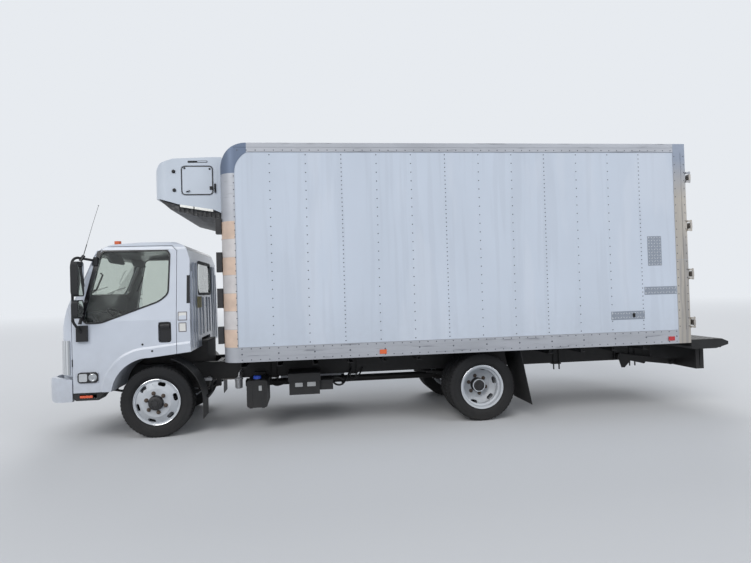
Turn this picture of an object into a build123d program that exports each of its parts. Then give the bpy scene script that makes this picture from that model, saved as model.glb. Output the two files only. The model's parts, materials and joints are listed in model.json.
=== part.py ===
"""Refrigerated truck: a medium cab-over chassis with an insulated box body, a nose-mounted
cooling unit, swing rear doors and a tuck-under tail lift.

Millimetres. The truck faces -X, its left side is -Y, and Z = 0 is the ground.
The origin is the middle of its footprint.
"""
from build123d import *
from math import cos, radians, sin
import os

# Chassis
WHEELBASE = 3810
FRONT_OVERHANG = 1149          # front axle to the bumper's face
REAR_OVERHANG = 3130           # rear axle to the edge of the bed extension
TRACK_FRONT = 1680
TRACK_REAR = 1650              # between the middles of the twin pairs
AXLE_HEIGHT = 405
FRAME_WIDTH = 850
FRAME_DEPTH = 215
FRAME_FLANGE = 70
FRAME_WALL = 7
FRAME_BOTTOM = 565
FRAME_FRONT = 985              # the rails' front end ahead of the front axle
FRAME_REAR_GAP = 40            # the rails' rear end ahead of the body's end
SPRING_WIDTH = 70
LEAF = 14
BOLT_R = 9
BODY_BOLT_DROP = 85            # how far the body's holding-down bolts hang below the rails

# Steering
KINGPIN_SPACING = TRACK_FRONT - 280
KINGPIN_R = 18
SPINDLE_R = 32
REAR_SPINDLE_R = 42
RUNNING_FIT = 0.05             # radial clearance of every turning pin
STEER_ARM = 180
STEER_ARM_DROP = 87.5
TIE_ROD_R = 14
TIE_ROD_DROP = 130
BALL_PIN_R = 10
STEERING_WHEEL_R = 210
COLUMN_LEAN = 35               # degrees from upright

# Wheels
TYRE_R = 405
TYRE_WIDTH = 226
BEAD_R = 248
FLANGE_R = 262
RIM_WIDTH = 190
RIM_WALL = 8
DISC_OFFSET = 118.5            # rim's middle to the disc's mounting face
DISC_WALL = 10
DISC_FLAT_R = 161
HUB_BORE_R = 81
HAND_HOLES = 6
HAND_HOLE_R = 211
HAND_HOLE_SIZE = (88, 42)
BEAD_SEAT_GAP = 0.3            # the tyre's bore stands this far off the rim
DRUM_R = (160, 170)            # front, rear
BACKING_PLATE_R = (150, 165)
ARCH_LINER_R = 495
LINER_WALL = 6

# Cab
CAB_HALF = 1025
CAB_ROOF_HALF = 905
CAB_BELT = 1350
CAB_WALL = 50
DOOR_WALL = 60
CAB_FLOOR = 565
CAB_REAR = 409                 # back of the cab behind the front axle
NOSE_FRONT = 1012              # nose of the cab ahead of the front axle
DOOR_GAP = 6
NOSE_R = 170
GLASS = 6
GLASS_RECESS = 10
TUNNEL_HALF = 345
TUNNEL_TOP = 1080
FRAME_TUNNEL_HALF = 450
FRAME_TUNNEL_TOP = 800
TUNNEL_WALL = 30
SEAT_BASE = 1035
FLARE_PROUD = 12               # the wheel arch's raised band
BUMPER_REAR = 876              # the bumper's ends ahead of the front axle
BUMPER_WALL = 60
LENS_PROUD = 12
MIRROR_TUBE_R = 14
MIRROR_OUT = 1140              # the mirror tube's distance from the middle

# Box body
BODY_HALF = 1219
BODY_FRONT = 790               # front face behind the front axle
BODY_LENGTH = 5650
BODY_BOTTOM = 848
BODY_TOP = 3317
BODY_WALL = 75
PANEL_RECESS = 4               # side panels lie this far inside the rails' faces
BODY_CORNER_R = 170
BODY_NOSE_R = 305
POST_WIDTH = 173
POST_FLANGE = 20               # the corner posts reach this far past their rounding
BOTTOM_RAIL = 169
TOP_RAIL = 106
RAIL_GROOVE = (8, 3)           # height, depth
REAR_POST = 159
FLOOR_TOP = 884
FLOOR_PLATE = 32
FLOOR_RIB = (14, 8, 76)        # width, height and spacing of the floor's ribs
CROSS_SILL = (60, 72)          # width along the truck, depth
CROSS_SILL_PITCH = 406.4
CARGO_DOOR = 80
CARGO_DOOR_SETBACK = 10
CARGO_DOOR_GAP = 10
CARGO_HINGE_BACK = 60          # hinge axis behind the doors' outer faces
CARGO_HINGE_OUT = 8            # hinge axis outside the body's side
HINGE_PIN_R = 8
HINGE_KNUCKLE_R = 14
LOCK_ROD_R = 14
JAMB = 90
HEADER = 225

# Cooling unit
UNIT_HALF = 950
UNIT_FRONT = 26                # front face behind the front axle
UNIT_CORNER_R = 140
HATCH_GAP = 6
HATCH_R = 45

# Tail lift
ARM_BACK = 520                 # arm pivots ahead of the body's end
ARM_Z = 620
ARM_Y = (470, 510)
LIFT_PIN_R = 15
EYE_R = 38
PLATE_BEHIND = 250             # folded platform behind the body's end
PLATE_LOW = 480
PLATE_HIGH = 735
PLATE_HALF = 950
PLATE_WALL = 50
PIVOT_Z = 520
EXTENSION_EDGE = 72            # height of the bed extension's rear edge
EXTENSION_DEPTH = 116

# Places along the truck
FRONT_X = -(FRONT_OVERHANG + WHEELBASE + REAR_OVERHANG) / 2
AXLE_F = FRONT_X + FRONT_OVERHANG
AXLE_R = AXLE_F + WHEELBASE
REAR_X = AXLE_R + REAR_OVERHANG
FRAME_TOP = FRAME_BOTTOM + FRAME_DEPTH
NOSE_X = AXLE_F - NOSE_FRONT
BODY_X0 = AXLE_F + BODY_FRONT
BODY_X1 = BODY_X0 + BODY_LENGTH
POST_X = BODY_X0 + POST_WIDTH
POST_Y = BODY_HALF - BODY_CORNER_R - POST_FLANGE
REAR_POST_X = BODY_X1 - REAR_POST
ROOF_X = BODY_X0 + BODY_NOSE_R + POST_FLANGE
ROOF_HALF = BODY_HALF - BODY_WALL
RAIL_TOP = BODY_BOTTOM + BOTTOM_RAIL
PANEL_TOP = BODY_TOP - TOP_RAIL
FRAME_REAR_X = BODY_X1 - FRAME_REAR_GAP
SILL_HIGH = FLOOR_TOP - FLOOR_PLATE
SILL_LOW = SILL_HIGH - CROSS_SILL[1]
ARM_X = BODY_X1 - ARM_BACK
PLATE_X = BODY_X1 + PLATE_BEHIND
PIVOT_X = PLATE_X - EYE_R - 8

# Rear doors and the axes of their hinges
DOOR_X1 = BODY_X1 - CARGO_DOOR_SETBACK
DOOR_X0 = DOOR_X1 - CARGO_DOOR
HINGE_X = DOOR_X1 + CARGO_HINGE_BACK
HINGE_Y = BODY_HALF + CARGO_HINGE_OUT
HINGE_HEIGHTS = (1100, 1700, 2300, 2900)
DOOR_LOW = FLOOR_TOP + 12
DOOR_HIGH = BODY_TOP - HEADER - 10

SIDES = ((-1, "left"), (1, "right"))

os.makedirs("parts", exist_ok=True)


def side_plane(y):
    """Sketch plane at y whose own axes are the truck's X and Z; it extrudes towards -Y."""
    return Plane.XZ.offset(-y)


def at(points):
    """Side-view points measured from the front axle, as places in the truck's frame."""
    return [(AXLE_F + x, z) for x, z in points]


def span(a, b):
    """Two values in rising order, such as both faces of a piece on either side."""
    return (min(a, b), max(a, b))


def block(x, y, z, mode=Mode.ADD):
    """A block between two values on each axis."""
    with Locations(((x[0] + x[1]) / 2, (y[0] + y[1]) / 2, (z[0] + z[1]) / 2)):
        Box(x[1] - x[0], y[1] - y[0], z[1] - z[0], mode=mode)


def rod(x, y, z, radius, along, length, mode=Mode.ADD):
    """A round bar centred on a point, along "x", "y" or "z"."""
    turn = {"x": (0, 90, 0), "y": (90, 0, 0), "z": (0, 0, 0)}[along]
    with Locations((x, y, z)):
        Cylinder(radius, length, rotation=turn, mode=mode)


def prism(points, y, mode=Mode.ADD):
    """A side-view outline extruded between two values of y."""
    with BuildSketch(side_plane(y[1])) as outline:
        with BuildLine():
            Polyline(*points, close=True)
        make_face()
    extrude(outline.sketch, amount=y[1] - y[0], mode=mode)


def corner_at(sketch, x, y):
    """The corner of a sketch under way that lies nearest to a place on its plane."""
    return sketch.vertices().sort_by_distance((x, y, 0))[0]


def region(x, y, z):
    """A free-standing block, for cutting one form into pieces."""
    with BuildPart() as shape:
        block(x, y, z)
    return shape.part


def save(piece, label):
    """Write one node; its file has the node's name."""
    piece.label = label
    export_step(piece, f"parts/{label}.step")


# Wheels. Tyre and rim profiles are drawn with the wheel's axis as Y and the radius as X
def ring_plane(centre):
    return Plane((0, centre, 0), x_dir=(0, 1, 0), z_dir=(0, 0, 1))


def tyre_ring(centres):
    half = TYRE_WIDTH / 2
    tread = half - 18
    edge = tread + 8
    bead = RIM_WIDTH / 2 - 17
    bore = BEAD_R + BEAD_SEAT_GAP
    lip = FLANGE_R + 4
    shoulder_r = TYRE_R - 14
    middle = (lip + shoulder_r) / 2
    with BuildPart() as ring:
        for centre in centres:
            with BuildSketch(ring_plane(centre)):
                with BuildLine():
                    Polyline((bead, lip), (bead, bore), (-bead, bore), (-bead, lip))
                    ThreePointArc((-bead, lip), (-half, middle), (-edge, shoulder_r))
                    Polyline((-edge, shoulder_r), (-tread, TYRE_R), (tread, TYRE_R), (edge, shoulder_r))
                    ThreePointArc((edge, shoulder_r), (half, middle), (bead, lip))
                make_face()
            revolve(axis=Axis.Y)
    return ring.part


def rim_ring(centre, outward):
    """A disc wheel: drop-centre rim and dished disc with hand holes; outward is the disc's side."""
    half = RIM_WIDTH / 2
    seat_r = BEAD_R - 9
    well_r = BEAD_R - 28
    # columns: distance from the rim's middle, radius; the outside from flange to well
    outside = ((half, FLANGE_R), (half - 11, FLANGE_R), (half - 14, BEAD_R), (half - 52, seat_r),
               (half - 62, well_r))
    inside = ((half - 7, BEAD_R - RIM_WALL), (half - 50, seat_r - RIM_WALL), (half - 60, well_r - RIM_WALL))
    with BuildPart() as ring:
        with BuildSketch(ring_plane(centre)):
            with BuildLine():
                Polyline(*outside, *[(-x, r) for x, r in reversed(outside)], *[(-x, r) for x, r in inside],
                         *reversed(inside), close=True)
            make_face()
        revolve(axis=Axis.Y)
        root = outward * (half - 30)
        face = outward * DISC_OFFSET
        wall = outward * DISC_WALL
        with BuildSketch(ring_plane(centre)):
            with BuildLine():
                Polyline((root, BEAD_R - 6), (root + wall, BEAD_R - 6), (face + wall, DISC_FLAT_R),
                         (face + wall, HUB_BORE_R), (face, HUB_BORE_R), (face, DISC_FLAT_R - 8), close=True)
            make_face()
        revolve(axis=Axis.Y)
        with BuildSketch(Plane.XZ.offset(-centre - outward * half)):
            with PolarLocations(HAND_HOLE_R, HAND_HOLES, start_angle=14):
                SlotOverall(*HAND_HOLE_SIZE, rotation=90)
        extrude(amount=half, both=True, mode=Mode.SUBTRACT)
    return ring.part


FRONT_HUB = Location((AXLE_F, 0, AXLE_HEIGHT))
REAR_HUB = Location((AXLE_R, 0, AXLE_HEIGHT))
CAP_R = HUB_BORE_R - 4
FLANGE = 18                    # thickness of the hubs' flanges

for side, name in SIDES:
    wheel_y = side * TRACK_FRONT / 2
    hub_face = wheel_y + side * DISC_OFFSET
    save(tyre_ring([wheel_y]).moved(FRONT_HUB), f"tyre_front_{name}")
    with BuildPart() as front_rim:
        add(rim_ring(wheel_y, side).moved(FRONT_HUB))
        rod(AXLE_F, hub_face - side * 75, AXLE_HEIGHT, 68, "y", 150)
        rod(AXLE_F, hub_face - side * FLANGE / 2, AXLE_HEIGHT, 140, "y", FLANGE)
        rod(AXLE_F, hub_face + side * 24, AXLE_HEIGHT, CAP_R, "y", 48)
        rod(AXLE_F, hub_face + side * 54, AXLE_HEIGHT, CAP_R - 22, "y", 12)
        rod(AXLE_F, hub_face - side * 120, AXLE_HEIGHT, DRUM_R[0], "y", 60)
        rod(AXLE_F, hub_face - side * 90, AXLE_HEIGHT, SPINDLE_R + RUNNING_FIT, "y", 160, mode=Mode.SUBTRACT)
    save(front_rim.part, f"rim_front_{name}")

    mating = side * TRACK_REAR / 2
    spread = DISC_OFFSET + DISC_WALL
    save(tyre_ring([mating - spread, mating + spread]).moved(REAR_HUB), f"tyres_rear_{name}")
    with BuildPart() as rear_rims:
        add(rim_ring(mating - side * spread, side).moved(REAR_HUB))
        add(rim_ring(mating + side * spread, -side).moved(REAR_HUB))
        rod(AXLE_R, mating - side * (DISC_WALL + FLANGE / 2), AXLE_HEIGHT, 140, "y", FLANGE)
        rod(AXLE_R, mating - side * 90, AXLE_HEIGHT, DRUM_R[1], "y", 110)
        rod(AXLE_R, mating - side * 30, AXLE_HEIGHT, CAP_R, "y", 250)
        rod(AXLE_R, mating - side * 60, AXLE_HEIGHT, REAR_SPINDLE_R + RUNNING_FIT, "y", 230,
            mode=Mode.SUBTRACT)
    save(rear_rims.part, f"rims_rear_{name}")

    # Steering knuckle: a yoke round the kingpin with backing plate, spindle and steering arm
    pin_y = side * KINGPIN_SPACING / 2
    plate_y = hub_face - side * 158
    spindle_end = hub_face - side * 12
    arm_z = AXLE_HEIGHT - STEER_ARM_DROP
    arm_x = AXLE_F + STEER_ARM
    with BuildPart() as knuckle:
        rod(AXLE_F, plate_y, AXLE_HEIGHT, BACKING_PLATE_R[0], "y", 8)
        rod(AXLE_F, (plate_y + spindle_end) / 2, AXLE_HEIGHT, SPINDLE_R, "y", abs(spindle_end - plate_y))
        block((AXLE_F - 35, AXLE_F + 35), span(pin_y + side * 46, plate_y), (AXLE_HEIGHT - 100, AXLE_HEIGHT + 100))
        for low in (AXLE_HEIGHT - 100, AXLE_HEIGHT + 60):
            block((AXLE_F - 35, AXLE_F + 35), span(pin_y, plate_y), (low, low + 40))
            rod(AXLE_F, pin_y, low + 20, 35, "z", 40)
        block((AXLE_F, arm_x), (pin_y - 20, pin_y + 20), (arm_z - 12.5, arm_z + 12.5))
        rod(arm_x, pin_y, arm_z, 24, "z", 25)
        rod(AXLE_F, pin_y, AXLE_HEIGHT, KINGPIN_R + RUNNING_FIT, "z", 240, mode=Mode.SUBTRACT)
        rod(arm_x, pin_y, arm_z, BALL_PIN_R + RUNNING_FIT, "z", 60, mode=Mode.SUBTRACT)
    save(knuckle.part, f"knuckle_{name}")

# Tie rod between the steering arms, with an upright ball pin at each end
rod_z = AXLE_HEIGHT - TIE_ROD_DROP
with BuildPart() as tie_rod:
    rod(AXLE_F + STEER_ARM, 0, rod_z, TIE_ROD_R, "y", KINGPIN_SPACING)
    for side, name in SIDES:
        rod(AXLE_F + STEER_ARM, side * KINGPIN_SPACING / 2, rod_z, 22, "z", 40)
        rod(AXLE_F + STEER_ARM, side * KINGPIN_SPACING / 2, rod_z + 28, BALL_PIN_R, "z", 56)
save(tie_rod.part, "tie_rod")

# Front axle: a dropped beam with a boss and kingpin at each end
BEAM_X = 35                    # half the beam's width along the truck
BEAM_LOW = 300
BEAM_TOP = 380
with BuildPart() as front_axle:
    end = KINGPIN_SPACING / 2
    with BuildSketch(Plane.YZ.offset(AXLE_F - BEAM_X)):
        with BuildLine():
            # the beam's left half, from its lower middle round to its upper middle, then the right half
            left = ((-470, BEAM_LOW), (-end + 60, AXLE_HEIGHT - 40), (-end, AXLE_HEIGHT - 40),
                    (-end, AXLE_HEIGHT + 40), (-end + 80, AXLE_HEIGHT + 40), (-450, BEAM_TOP))
            Polyline(*left, *[(-y, z) for y, z in reversed(left)], close=True)
        make_face()
    extrude(amount=2 * BEAM_X)
    for face_x in (AXLE_F - BEAM_X, AXLE_F + BEAM_X):
        block((face_x - 14, face_x + 14), (-440, 440), (BEAM_LOW + 18, BEAM_TOP - 18), mode=Mode.SUBTRACT)
    for side, name in SIDES:
        rod(AXLE_F, side * end, AXLE_HEIGHT, 38, "z", 90)
        rod(AXLE_F, side * end, AXLE_HEIGHT, KINGPIN_R, "z", 200)
save(front_axle.part, "front_axle")

# Rear axle: tube, differential, backing plates and the propeller shaft with its joints
TUBE_R = 58
SHAFT_Y = 40
SHAFT_Z = AXLE_HEIGHT + 20
SHAFT_FRONT = AXLE_F + 900
with BuildPart() as rear_axle:
    with Locations((AXLE_R, 60, AXLE_HEIGHT)):
        Sphere(190)
    block((AXLE_R - 230, AXLE_R + 230), (150, 400), (0, 900), mode=Mode.SUBTRACT)
    block((AXLE_R - 230, AXLE_R + 230), (-400, -60), (0, 900), mode=Mode.SUBTRACT)
    rod(AXLE_R, 0, AXLE_HEIGHT, TUBE_R, "y", TRACK_REAR - 380)
    rod(AXLE_R, 0, AXLE_HEIGHT, REAR_SPINDLE_R, "y", TRACK_REAR + 20)
    for side, name in SIDES:
        rod(AXLE_R, side * (TRACK_REAR / 2 - 160), AXLE_HEIGHT, BACKING_PLATE_R[1], "y", 8)
    rod(AXLE_R - 230, SHAFT_Y, SHAFT_Z, 70, "x", 180)
    shaft_rear = AXLE_R - 318
    rod((SHAFT_FRONT + shaft_rear) / 2, SHAFT_Y, SHAFT_Z, 45, "x", shaft_rear - SHAFT_FRONT)
    for x in (SHAFT_FRONT + 30, (SHAFT_FRONT + shaft_rear) / 2, shaft_rear - 30):
        rod(x, SHAFT_Y, SHAFT_Z, 62, "x", 40)
save(rear_axle.part, "rear_axle")

# Leaf springs with their clamps, hung from the frame, and the dampers beside them
with BuildPart() as springs:
    # columns: axle, spring's seat, half length, camber, leaves, axle's lowest point, half its width
    for axle, seat, reach, rise, leaves, under, half in (
            (AXLE_F, BEAM_TOP, 620, 70, 3, BEAM_LOW, BEAM_X),
            (AXLE_R, AXLE_HEIGHT + TUBE_R, 680, 35, 4, AXLE_HEIGHT - TUBE_R, TUBE_R)):
        stack = seat + leaves * LEAF
        bolt_x = half + BOLT_R + 1
        for side, name in SIDES:
            outer = side * FRAME_WIDTH / 2
            inner = outer - side * SPRING_WIDTH
            width = span(outer, inner)
            for leaf in range(leaves):
                length = reach * (1 - 0.2 * (leaves - 1 - leaf))
                low = seat + leaf * LEAF
                lift = low + rise * (length / reach) ** 2
                with BuildSketch(side_plane(width[1])):
                    with BuildLine():
                        ThreePointArc((axle - length, lift), (axle, low), (axle + length, lift))
                        Line((axle + length, lift), (axle + length, lift + LEAF))
                        ThreePointArc((axle + length, lift + LEAF), (axle, low + LEAF),
                                      (axle - length, lift + LEAF))
                        Line((axle - length, lift + LEAF), (axle - length, lift))
                    make_face()
                extrude(amount=SPRING_WIDTH)
            for end in (-reach, reach):
                block((axle + end - 25, axle + end + 25), width, (stack - LEAF + rise, FRAME_BOTTOM))
            block((axle - 60, axle + 60), width, (seat, stack + 20))
            low = under - 12
            high = stack + 20 + BOLT_R
            for x in (axle - bolt_x, axle + bolt_x):
                for y in (outer + side * BOLT_R, inner - side * BOLT_R):
                    rod(x, y, (low + high) / 2, BOLT_R, "z", high - low)
                block((x - BOLT_R, x + BOLT_R), span(outer + side * 2 * BOLT_R, inner - side * 2 * BOLT_R),
                      (stack + 20, high))
            block((axle - bolt_x - 12, axle + bolt_x + 12),
                  span(outer + side * 2 * BOLT_R, inner - side * 2 * BOLT_R), (low, under))
save(springs.part, "leaf_springs")

# Frame: two channels with cross members, the tail lift's brackets and the body's holding-down bolts
with BuildPart() as frame:
    for side, name in SIDES:
        outer = side * FRAME_WIDTH / 2
        inner = outer - side * FRAME_FLANGE
        web = outer - side * FRAME_WALL
        low = FRAME_BOTTOM + FRAME_WALL
        high = FRAME_TOP - FRAME_WALL
        with BuildSketch(Plane.YZ.offset(AXLE_F - FRAME_FRONT)):
            with BuildLine():
                Polyline((outer, FRAME_BOTTOM), (inner, FRAME_BOTTOM), (inner, low), (web, low), (web, high),
                         (inner, high), (inner, FRAME_TOP), (outer, FRAME_TOP), close=True)
            make_face()
        extrude(amount=FRAME_REAR_X - AXLE_F + FRAME_FRONT)
    web = FRAME_WIDTH / 2 - FRAME_WALL
    low = FRAME_BOTTOM + 40
    high = FRAME_TOP - 30
    for x in (-950, 560, 1500, 2600, 3350, 4270, 5300, 6340):
        block((AXLE_F + x, AXLE_F + x + 8), (-web, web), (low, high))
        block((AXLE_F + x, AXLE_F + x + 60), (-web, web), (high - FRAME_WALL, high))
        block((AXLE_F + x, AXLE_F + x + 60), (-web, web), (low, low + FRAME_WALL))
    for side, name in SIDES:
        edge = side * FRAME_WIDTH / 2
        block((ARM_X - 60, ARM_X + 60), span(edge, edge + side * 20), (ARM_Z - 40, FRAME_TOP - 20))
        rod(ARM_X, side * ARM_Y[0], ARM_Z, LIFT_PIN_R, "y", 90)
        for x in (1300, 2300, 5040, 6130):
            bolt_y = edge + side * (BOLT_R - 3)
            for bolt_x in (x - 38, x + 38):
                low = FRAME_BOTTOM - BODY_BOLT_DROP
                rod(AXLE_F + bolt_x, bolt_y, (low + SILL_LOW) / 2, BOLT_R, "z", SILL_LOW - low)
            block((AXLE_F + x - 60, AXLE_F + x + 60), span(edge - side * 60, edge + side * 24),
                  (FRAME_BOTTOM - 14, FRAME_BOTTOM))
save(frame.part, "chassis_frame")

with BuildPart() as engine:
    block((AXLE_F - 420, AXLE_F + 480), (-300, 300), (450, TUNNEL_TOP - 40))
save(engine.part, "engine")

# Cab. Side, front and plan outlines meet in one form, which a second, inset one hollows.
# Columns: place behind the front axle, height, radius of the corner
CAB_SIDE = ((-NOSE_FRONT, CAB_FLOOR, 0), (-NOSE_FRONT, 1108, 0), (-997, 1274, 0), (-907, 1549, 0), (-885, 1604, 0),
            (-641, 2146, 90), (-479, 2224, 200), (-120, 2251, 0), (227, 2246, 150), (352, 2190, 90), (398, 2044, 0),
            (CAB_REAR, 976, 0))
CAB_ARCH = ((CAB_REAR, 976), (-44, 927), (-349, 800), (-462, CAB_FLOOR))
FLARE_EDGE = ((CAB_REAR, 1074), (-50, 1025), (-433, 857), (-560, CAB_FLOOR))
CAB_TOP = 2256
CAB_EDGE_R = 120
SCREEN_FOOT = 1604
WINDSCREEN_LEAN = (244, 0, 542)


def arch_line(points):
    """The wheel arch: a straight stretch behind the wheel, then one arc over it."""
    rear, top, middle, front = at(points)
    Line(rear, top)
    ThreePointArc(top, middle, front)
    return front


def cab_form(side_inset, front_inset):
    """The cab's outside, drawn in by one margin seen from the side and another from the front."""
    with BuildPart() as form:
        with BuildSketch(side_plane(CAB_HALF + 50)) as side_view:
            with BuildLine():
                Polyline(*at([(x, z) for x, z, corner in CAB_SIDE]))
                Line(arch_line(CAB_ARCH), at([CAB_SIDE[0][:2]])[0])
            make_face()
            for x, z, corner in CAB_SIDE:
                if corner:
                    fillet(corner_at(side_view, AXLE_F + x, z), corner)
            if side_inset:
                offset(amount=-side_inset, kind=Kind.INTERSECTION)
        extrude(amount=2 * CAB_HALF + 100)
        half = CAB_HALF - front_inset
        roof = CAB_ROOF_HALF - front_inset - 13
        top = CAB_TOP - front_inset
        with BuildSketch(Plane.YZ.offset(AXLE_F - 1100)) as front_view:
            with BuildLine():
                Polyline((-half, 300), (-half, CAB_BELT), (-roof, top), (roof, top), (half, CAB_BELT), (half, 300),
                         close=True)
            make_face()
            fillet(front_view.vertices().group_by(Axis.Y)[-1], CAB_EDGE_R - front_inset)
        extrude(amount=1700, mode=Mode.INTERSECT)
    nose = NOSE_X + side_inset
    screen = AXLE_F - 885 + side_inset
    with BuildPart() as plan:
        with BuildSketch(Plane.XY.offset(300)):
            with Locations((nose + 1500, 0)):
                RectangleRounded(3000, 2 * half, NOSE_R)
        extrude(amount=SCREEN_FOOT - 300)
        with BuildSketch(Plane.XY.offset(SCREEN_FOOT)):
            with Locations((screen + 1500, 0)):
                RectangleRounded(3000, 2 * half, NOSE_R)
        extrude(amount=900, dir=WINDSCREEN_LEAN)
    return form.part & plan.part


def outline_prism(points, shrink, radius, y):
    """A side-view outline, drawn in by a margin and rounded, through one side of the cab."""
    with BuildPart() as shape:
        with BuildSketch(side_plane(y[1])) as face:
            with BuildLine():
                Polyline(*at(points), close=True)
            make_face()
            if shrink:
                offset(amount=-shrink, kind=Kind.INTERSECTION)
            if radius:
                fillet(face.vertices(), radius)
        extrude(amount=y[1] - y[0])
    return shape.part


def front_prism(points, x, radius=0):
    """A front-view outline extruded along the truck."""
    with BuildPart() as shape:
        with BuildSketch(Plane.YZ.offset(x[0])) as face:
            with BuildLine():
                Polyline(*points, close=True)
            make_face()
            if radius:
                fillet(face.vertices(), radius)
        extrude(amount=x[1] - x[0])
    return shape.part


def window_outline(half_low, half_high, low, high, margin):
    """A window seen from the front, wider below than above, drawn in by a margin."""
    left, right = -half_low + margin, half_low - margin
    return ((left, low + margin), (right, low + margin), (half_high - margin, high - margin),
            (-half_high + margin, high - margin))


cab_outer = cab_form(0, 0)
cab_inner = cab_form(CAB_WALL, DOOR_WALL)
door_inner = cab_form(-20, DOOR_WALL)
glass_skin = cab_form(GLASS_RECESS, GLASS_RECESS) - cab_form(GLASS_RECESS + GLASS, GLASS_RECESS + GLASS)

# The raised band round the wheel arch
with BuildPart() as flare_band:
    with BuildSketch(side_plane(CAB_HALF + 50)):
        with BuildLine():
            outer_end = arch_line(FLARE_EDGE)
            inner_end = arch_line(CAB_ARCH)
            Line(outer_end, inner_end)
            Line(at([FLARE_EDGE[0]])[0], at([CAB_ARCH[0]])[0])
        make_face()
    extrude(amount=2 * CAB_HALF + 100)
cab_skin = cab_outer + (cab_form(0, -FLARE_PROUD) & flare_band.part)

DOOR_OUTLINE = ((-866, 400), (-872, 1470), (-846, 1585), (-640, 2105), (-545, 2200), (200, 2200), (255, 2140),
                (255, 400))
SIDE_WINDOW = ((-753, 1338), (-577, 2145), (175, 2140), (160, 1640), (60, 1560), (-560, 1338))
HANDLE_PLATE = ((60, 194), (1095, 1321))        # the door handle's recess: along the truck, height
SIDE_LAMP = ((-811, -598), (678, 791))
SCREEN = (860, 790, 1650, 2100)
BACK_WINDOW = (480, 470, 1640, 2020)
SCREEN_X = (AXLE_F - 1050, AXLE_F - 560)
BACK_WINDOW_X = (AXLE_F + 330, AXLE_F + 450)

with BuildPart() as cab:
    add(cab_skin)
    add(cab_inner, mode=Mode.SUBTRACT)
    with BuildPart(mode=Mode.PRIVATE) as tunnels:
        wall = FRAME_TUNNEL_HALF + TUNNEL_WALL
        block((AXLE_F - 1000, AXLE_F + 480), (-wall, wall), (500, FRAME_TUNNEL_TOP + TUNNEL_WALL))
        block((AXLE_F - 470 - TUNNEL_WALL, AXLE_F + 480), (-TUNNEL_HALF, TUNNEL_HALF),
              (500, TUNNEL_TOP + TUNNEL_WALL))
    add(tunnels.part & cab_outer)
    block((AXLE_F - 340, AXLE_F + 340), (-900, 900), (980, SEAT_BASE))
    for side, name in SIDES:
        # room for the bumper's ends
        block((AXLE_F - 1200, AXLE_F - BUMPER_REAR + 6), span(side * (CAB_HALF - BUMPER_WALL - 10), side * 1200),
              (400, 755), mode=Mode.SUBTRACT)
        # pressed ribs of the back wall
        for y, low, high in ((140, 1120, 1590), (340, 1120, 1590), (570, 1000, 2010), (720, 1000, 2010),
                             (860, 1000, 1900)):
            block((AXLE_F + CAB_REAR - 30, AXLE_F + CAB_REAR + 6), span(side * (y - 20), side * (y + 20)), (low, high))
    block((AXLE_F - 1020, AXLE_F + 500), (-FRAME_TUNNEL_HALF, FRAME_TUNNEL_HALF), (400, FRAME_TUNNEL_TOP),
          mode=Mode.SUBTRACT)
    block((AXLE_F - 470, AXLE_F + 500), (-TUNNEL_HALF + TUNNEL_WALL, TUNNEL_HALF - TUNNEL_WALL),
          (400, TUNNEL_TOP), mode=Mode.SUBTRACT)
    add(front_prism(window_outline(*SCREEN, 0), SCREEN_X, 60), mode=Mode.SUBTRACT)
    add(front_prism(window_outline(*BACK_WINDOW, 0), BACK_WINDOW_X, 60), mode=Mode.SUBTRACT)
    for side, name in SIDES:
        door_side = span(side * 700, side * (CAB_HALF + 60))
        opening = outline_prism(DOOR_OUTLINE, -DOOR_GAP / 2, 0, door_side)
        add(opening - cab_form(-20, DOOR_WALL + 2), mode=Mode.SUBTRACT)
save(cab.part, "cab_shell")

with BuildPart() as screens:
    add(glass_skin & front_prism(window_outline(*SCREEN, 1), SCREEN_X, 59))
    add(glass_skin & front_prism(window_outline(*BACK_WINDOW, 1), BACK_WINDOW_X, 59))
save(screens.part, "cab_glass")

for side, name in SIDES:
    door_side = span(side * 700, side * (CAB_HALF + 60))
    handle_x, handle_z = HANDLE_PLATE
    lamp_x, lamp_z = SIDE_LAMP
    face = side * CAB_HALF
    with BuildPart() as door:
        add((cab_skin - door_inner) & outline_prism(DOOR_OUTLINE, DOOR_GAP / 2, 0, door_side))
        add(outline_prism(SIDE_WINDOW, 0, 40, door_side), mode=Mode.SUBTRACT)
        block((AXLE_F + handle_x[0], AXLE_F + handle_x[1]), span(face - side * 22, face + side * 5), handle_z,
              mode=Mode.SUBTRACT)
        block((AXLE_F + handle_x[0] + 12, AXLE_F + handle_x[1] - 12), span(face - side * 30, face + side * 4),
              (handle_z[1] - 70, handle_z[1] - 30))
        block((AXLE_F + lamp_x[0], AXLE_F + lamp_x[1]), span(face - side * 20, face + side * LENS_PROUD), lamp_z)
    save(door.part, f"cab_door_{name}")
    with BuildPart() as pane:
        add(glass_skin & outline_prism(SIDE_WINDOW, 1, 39, door_side))
    save(pane.part, f"door_glass_{name}")

# Bumper: a wall that wraps round the nose, rounded under its front edge
BUMPER_TOP = 749
FOG_LAMP = (640, 625)                           # distance from the middle, height
FOG_LAMP_R = 62


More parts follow.
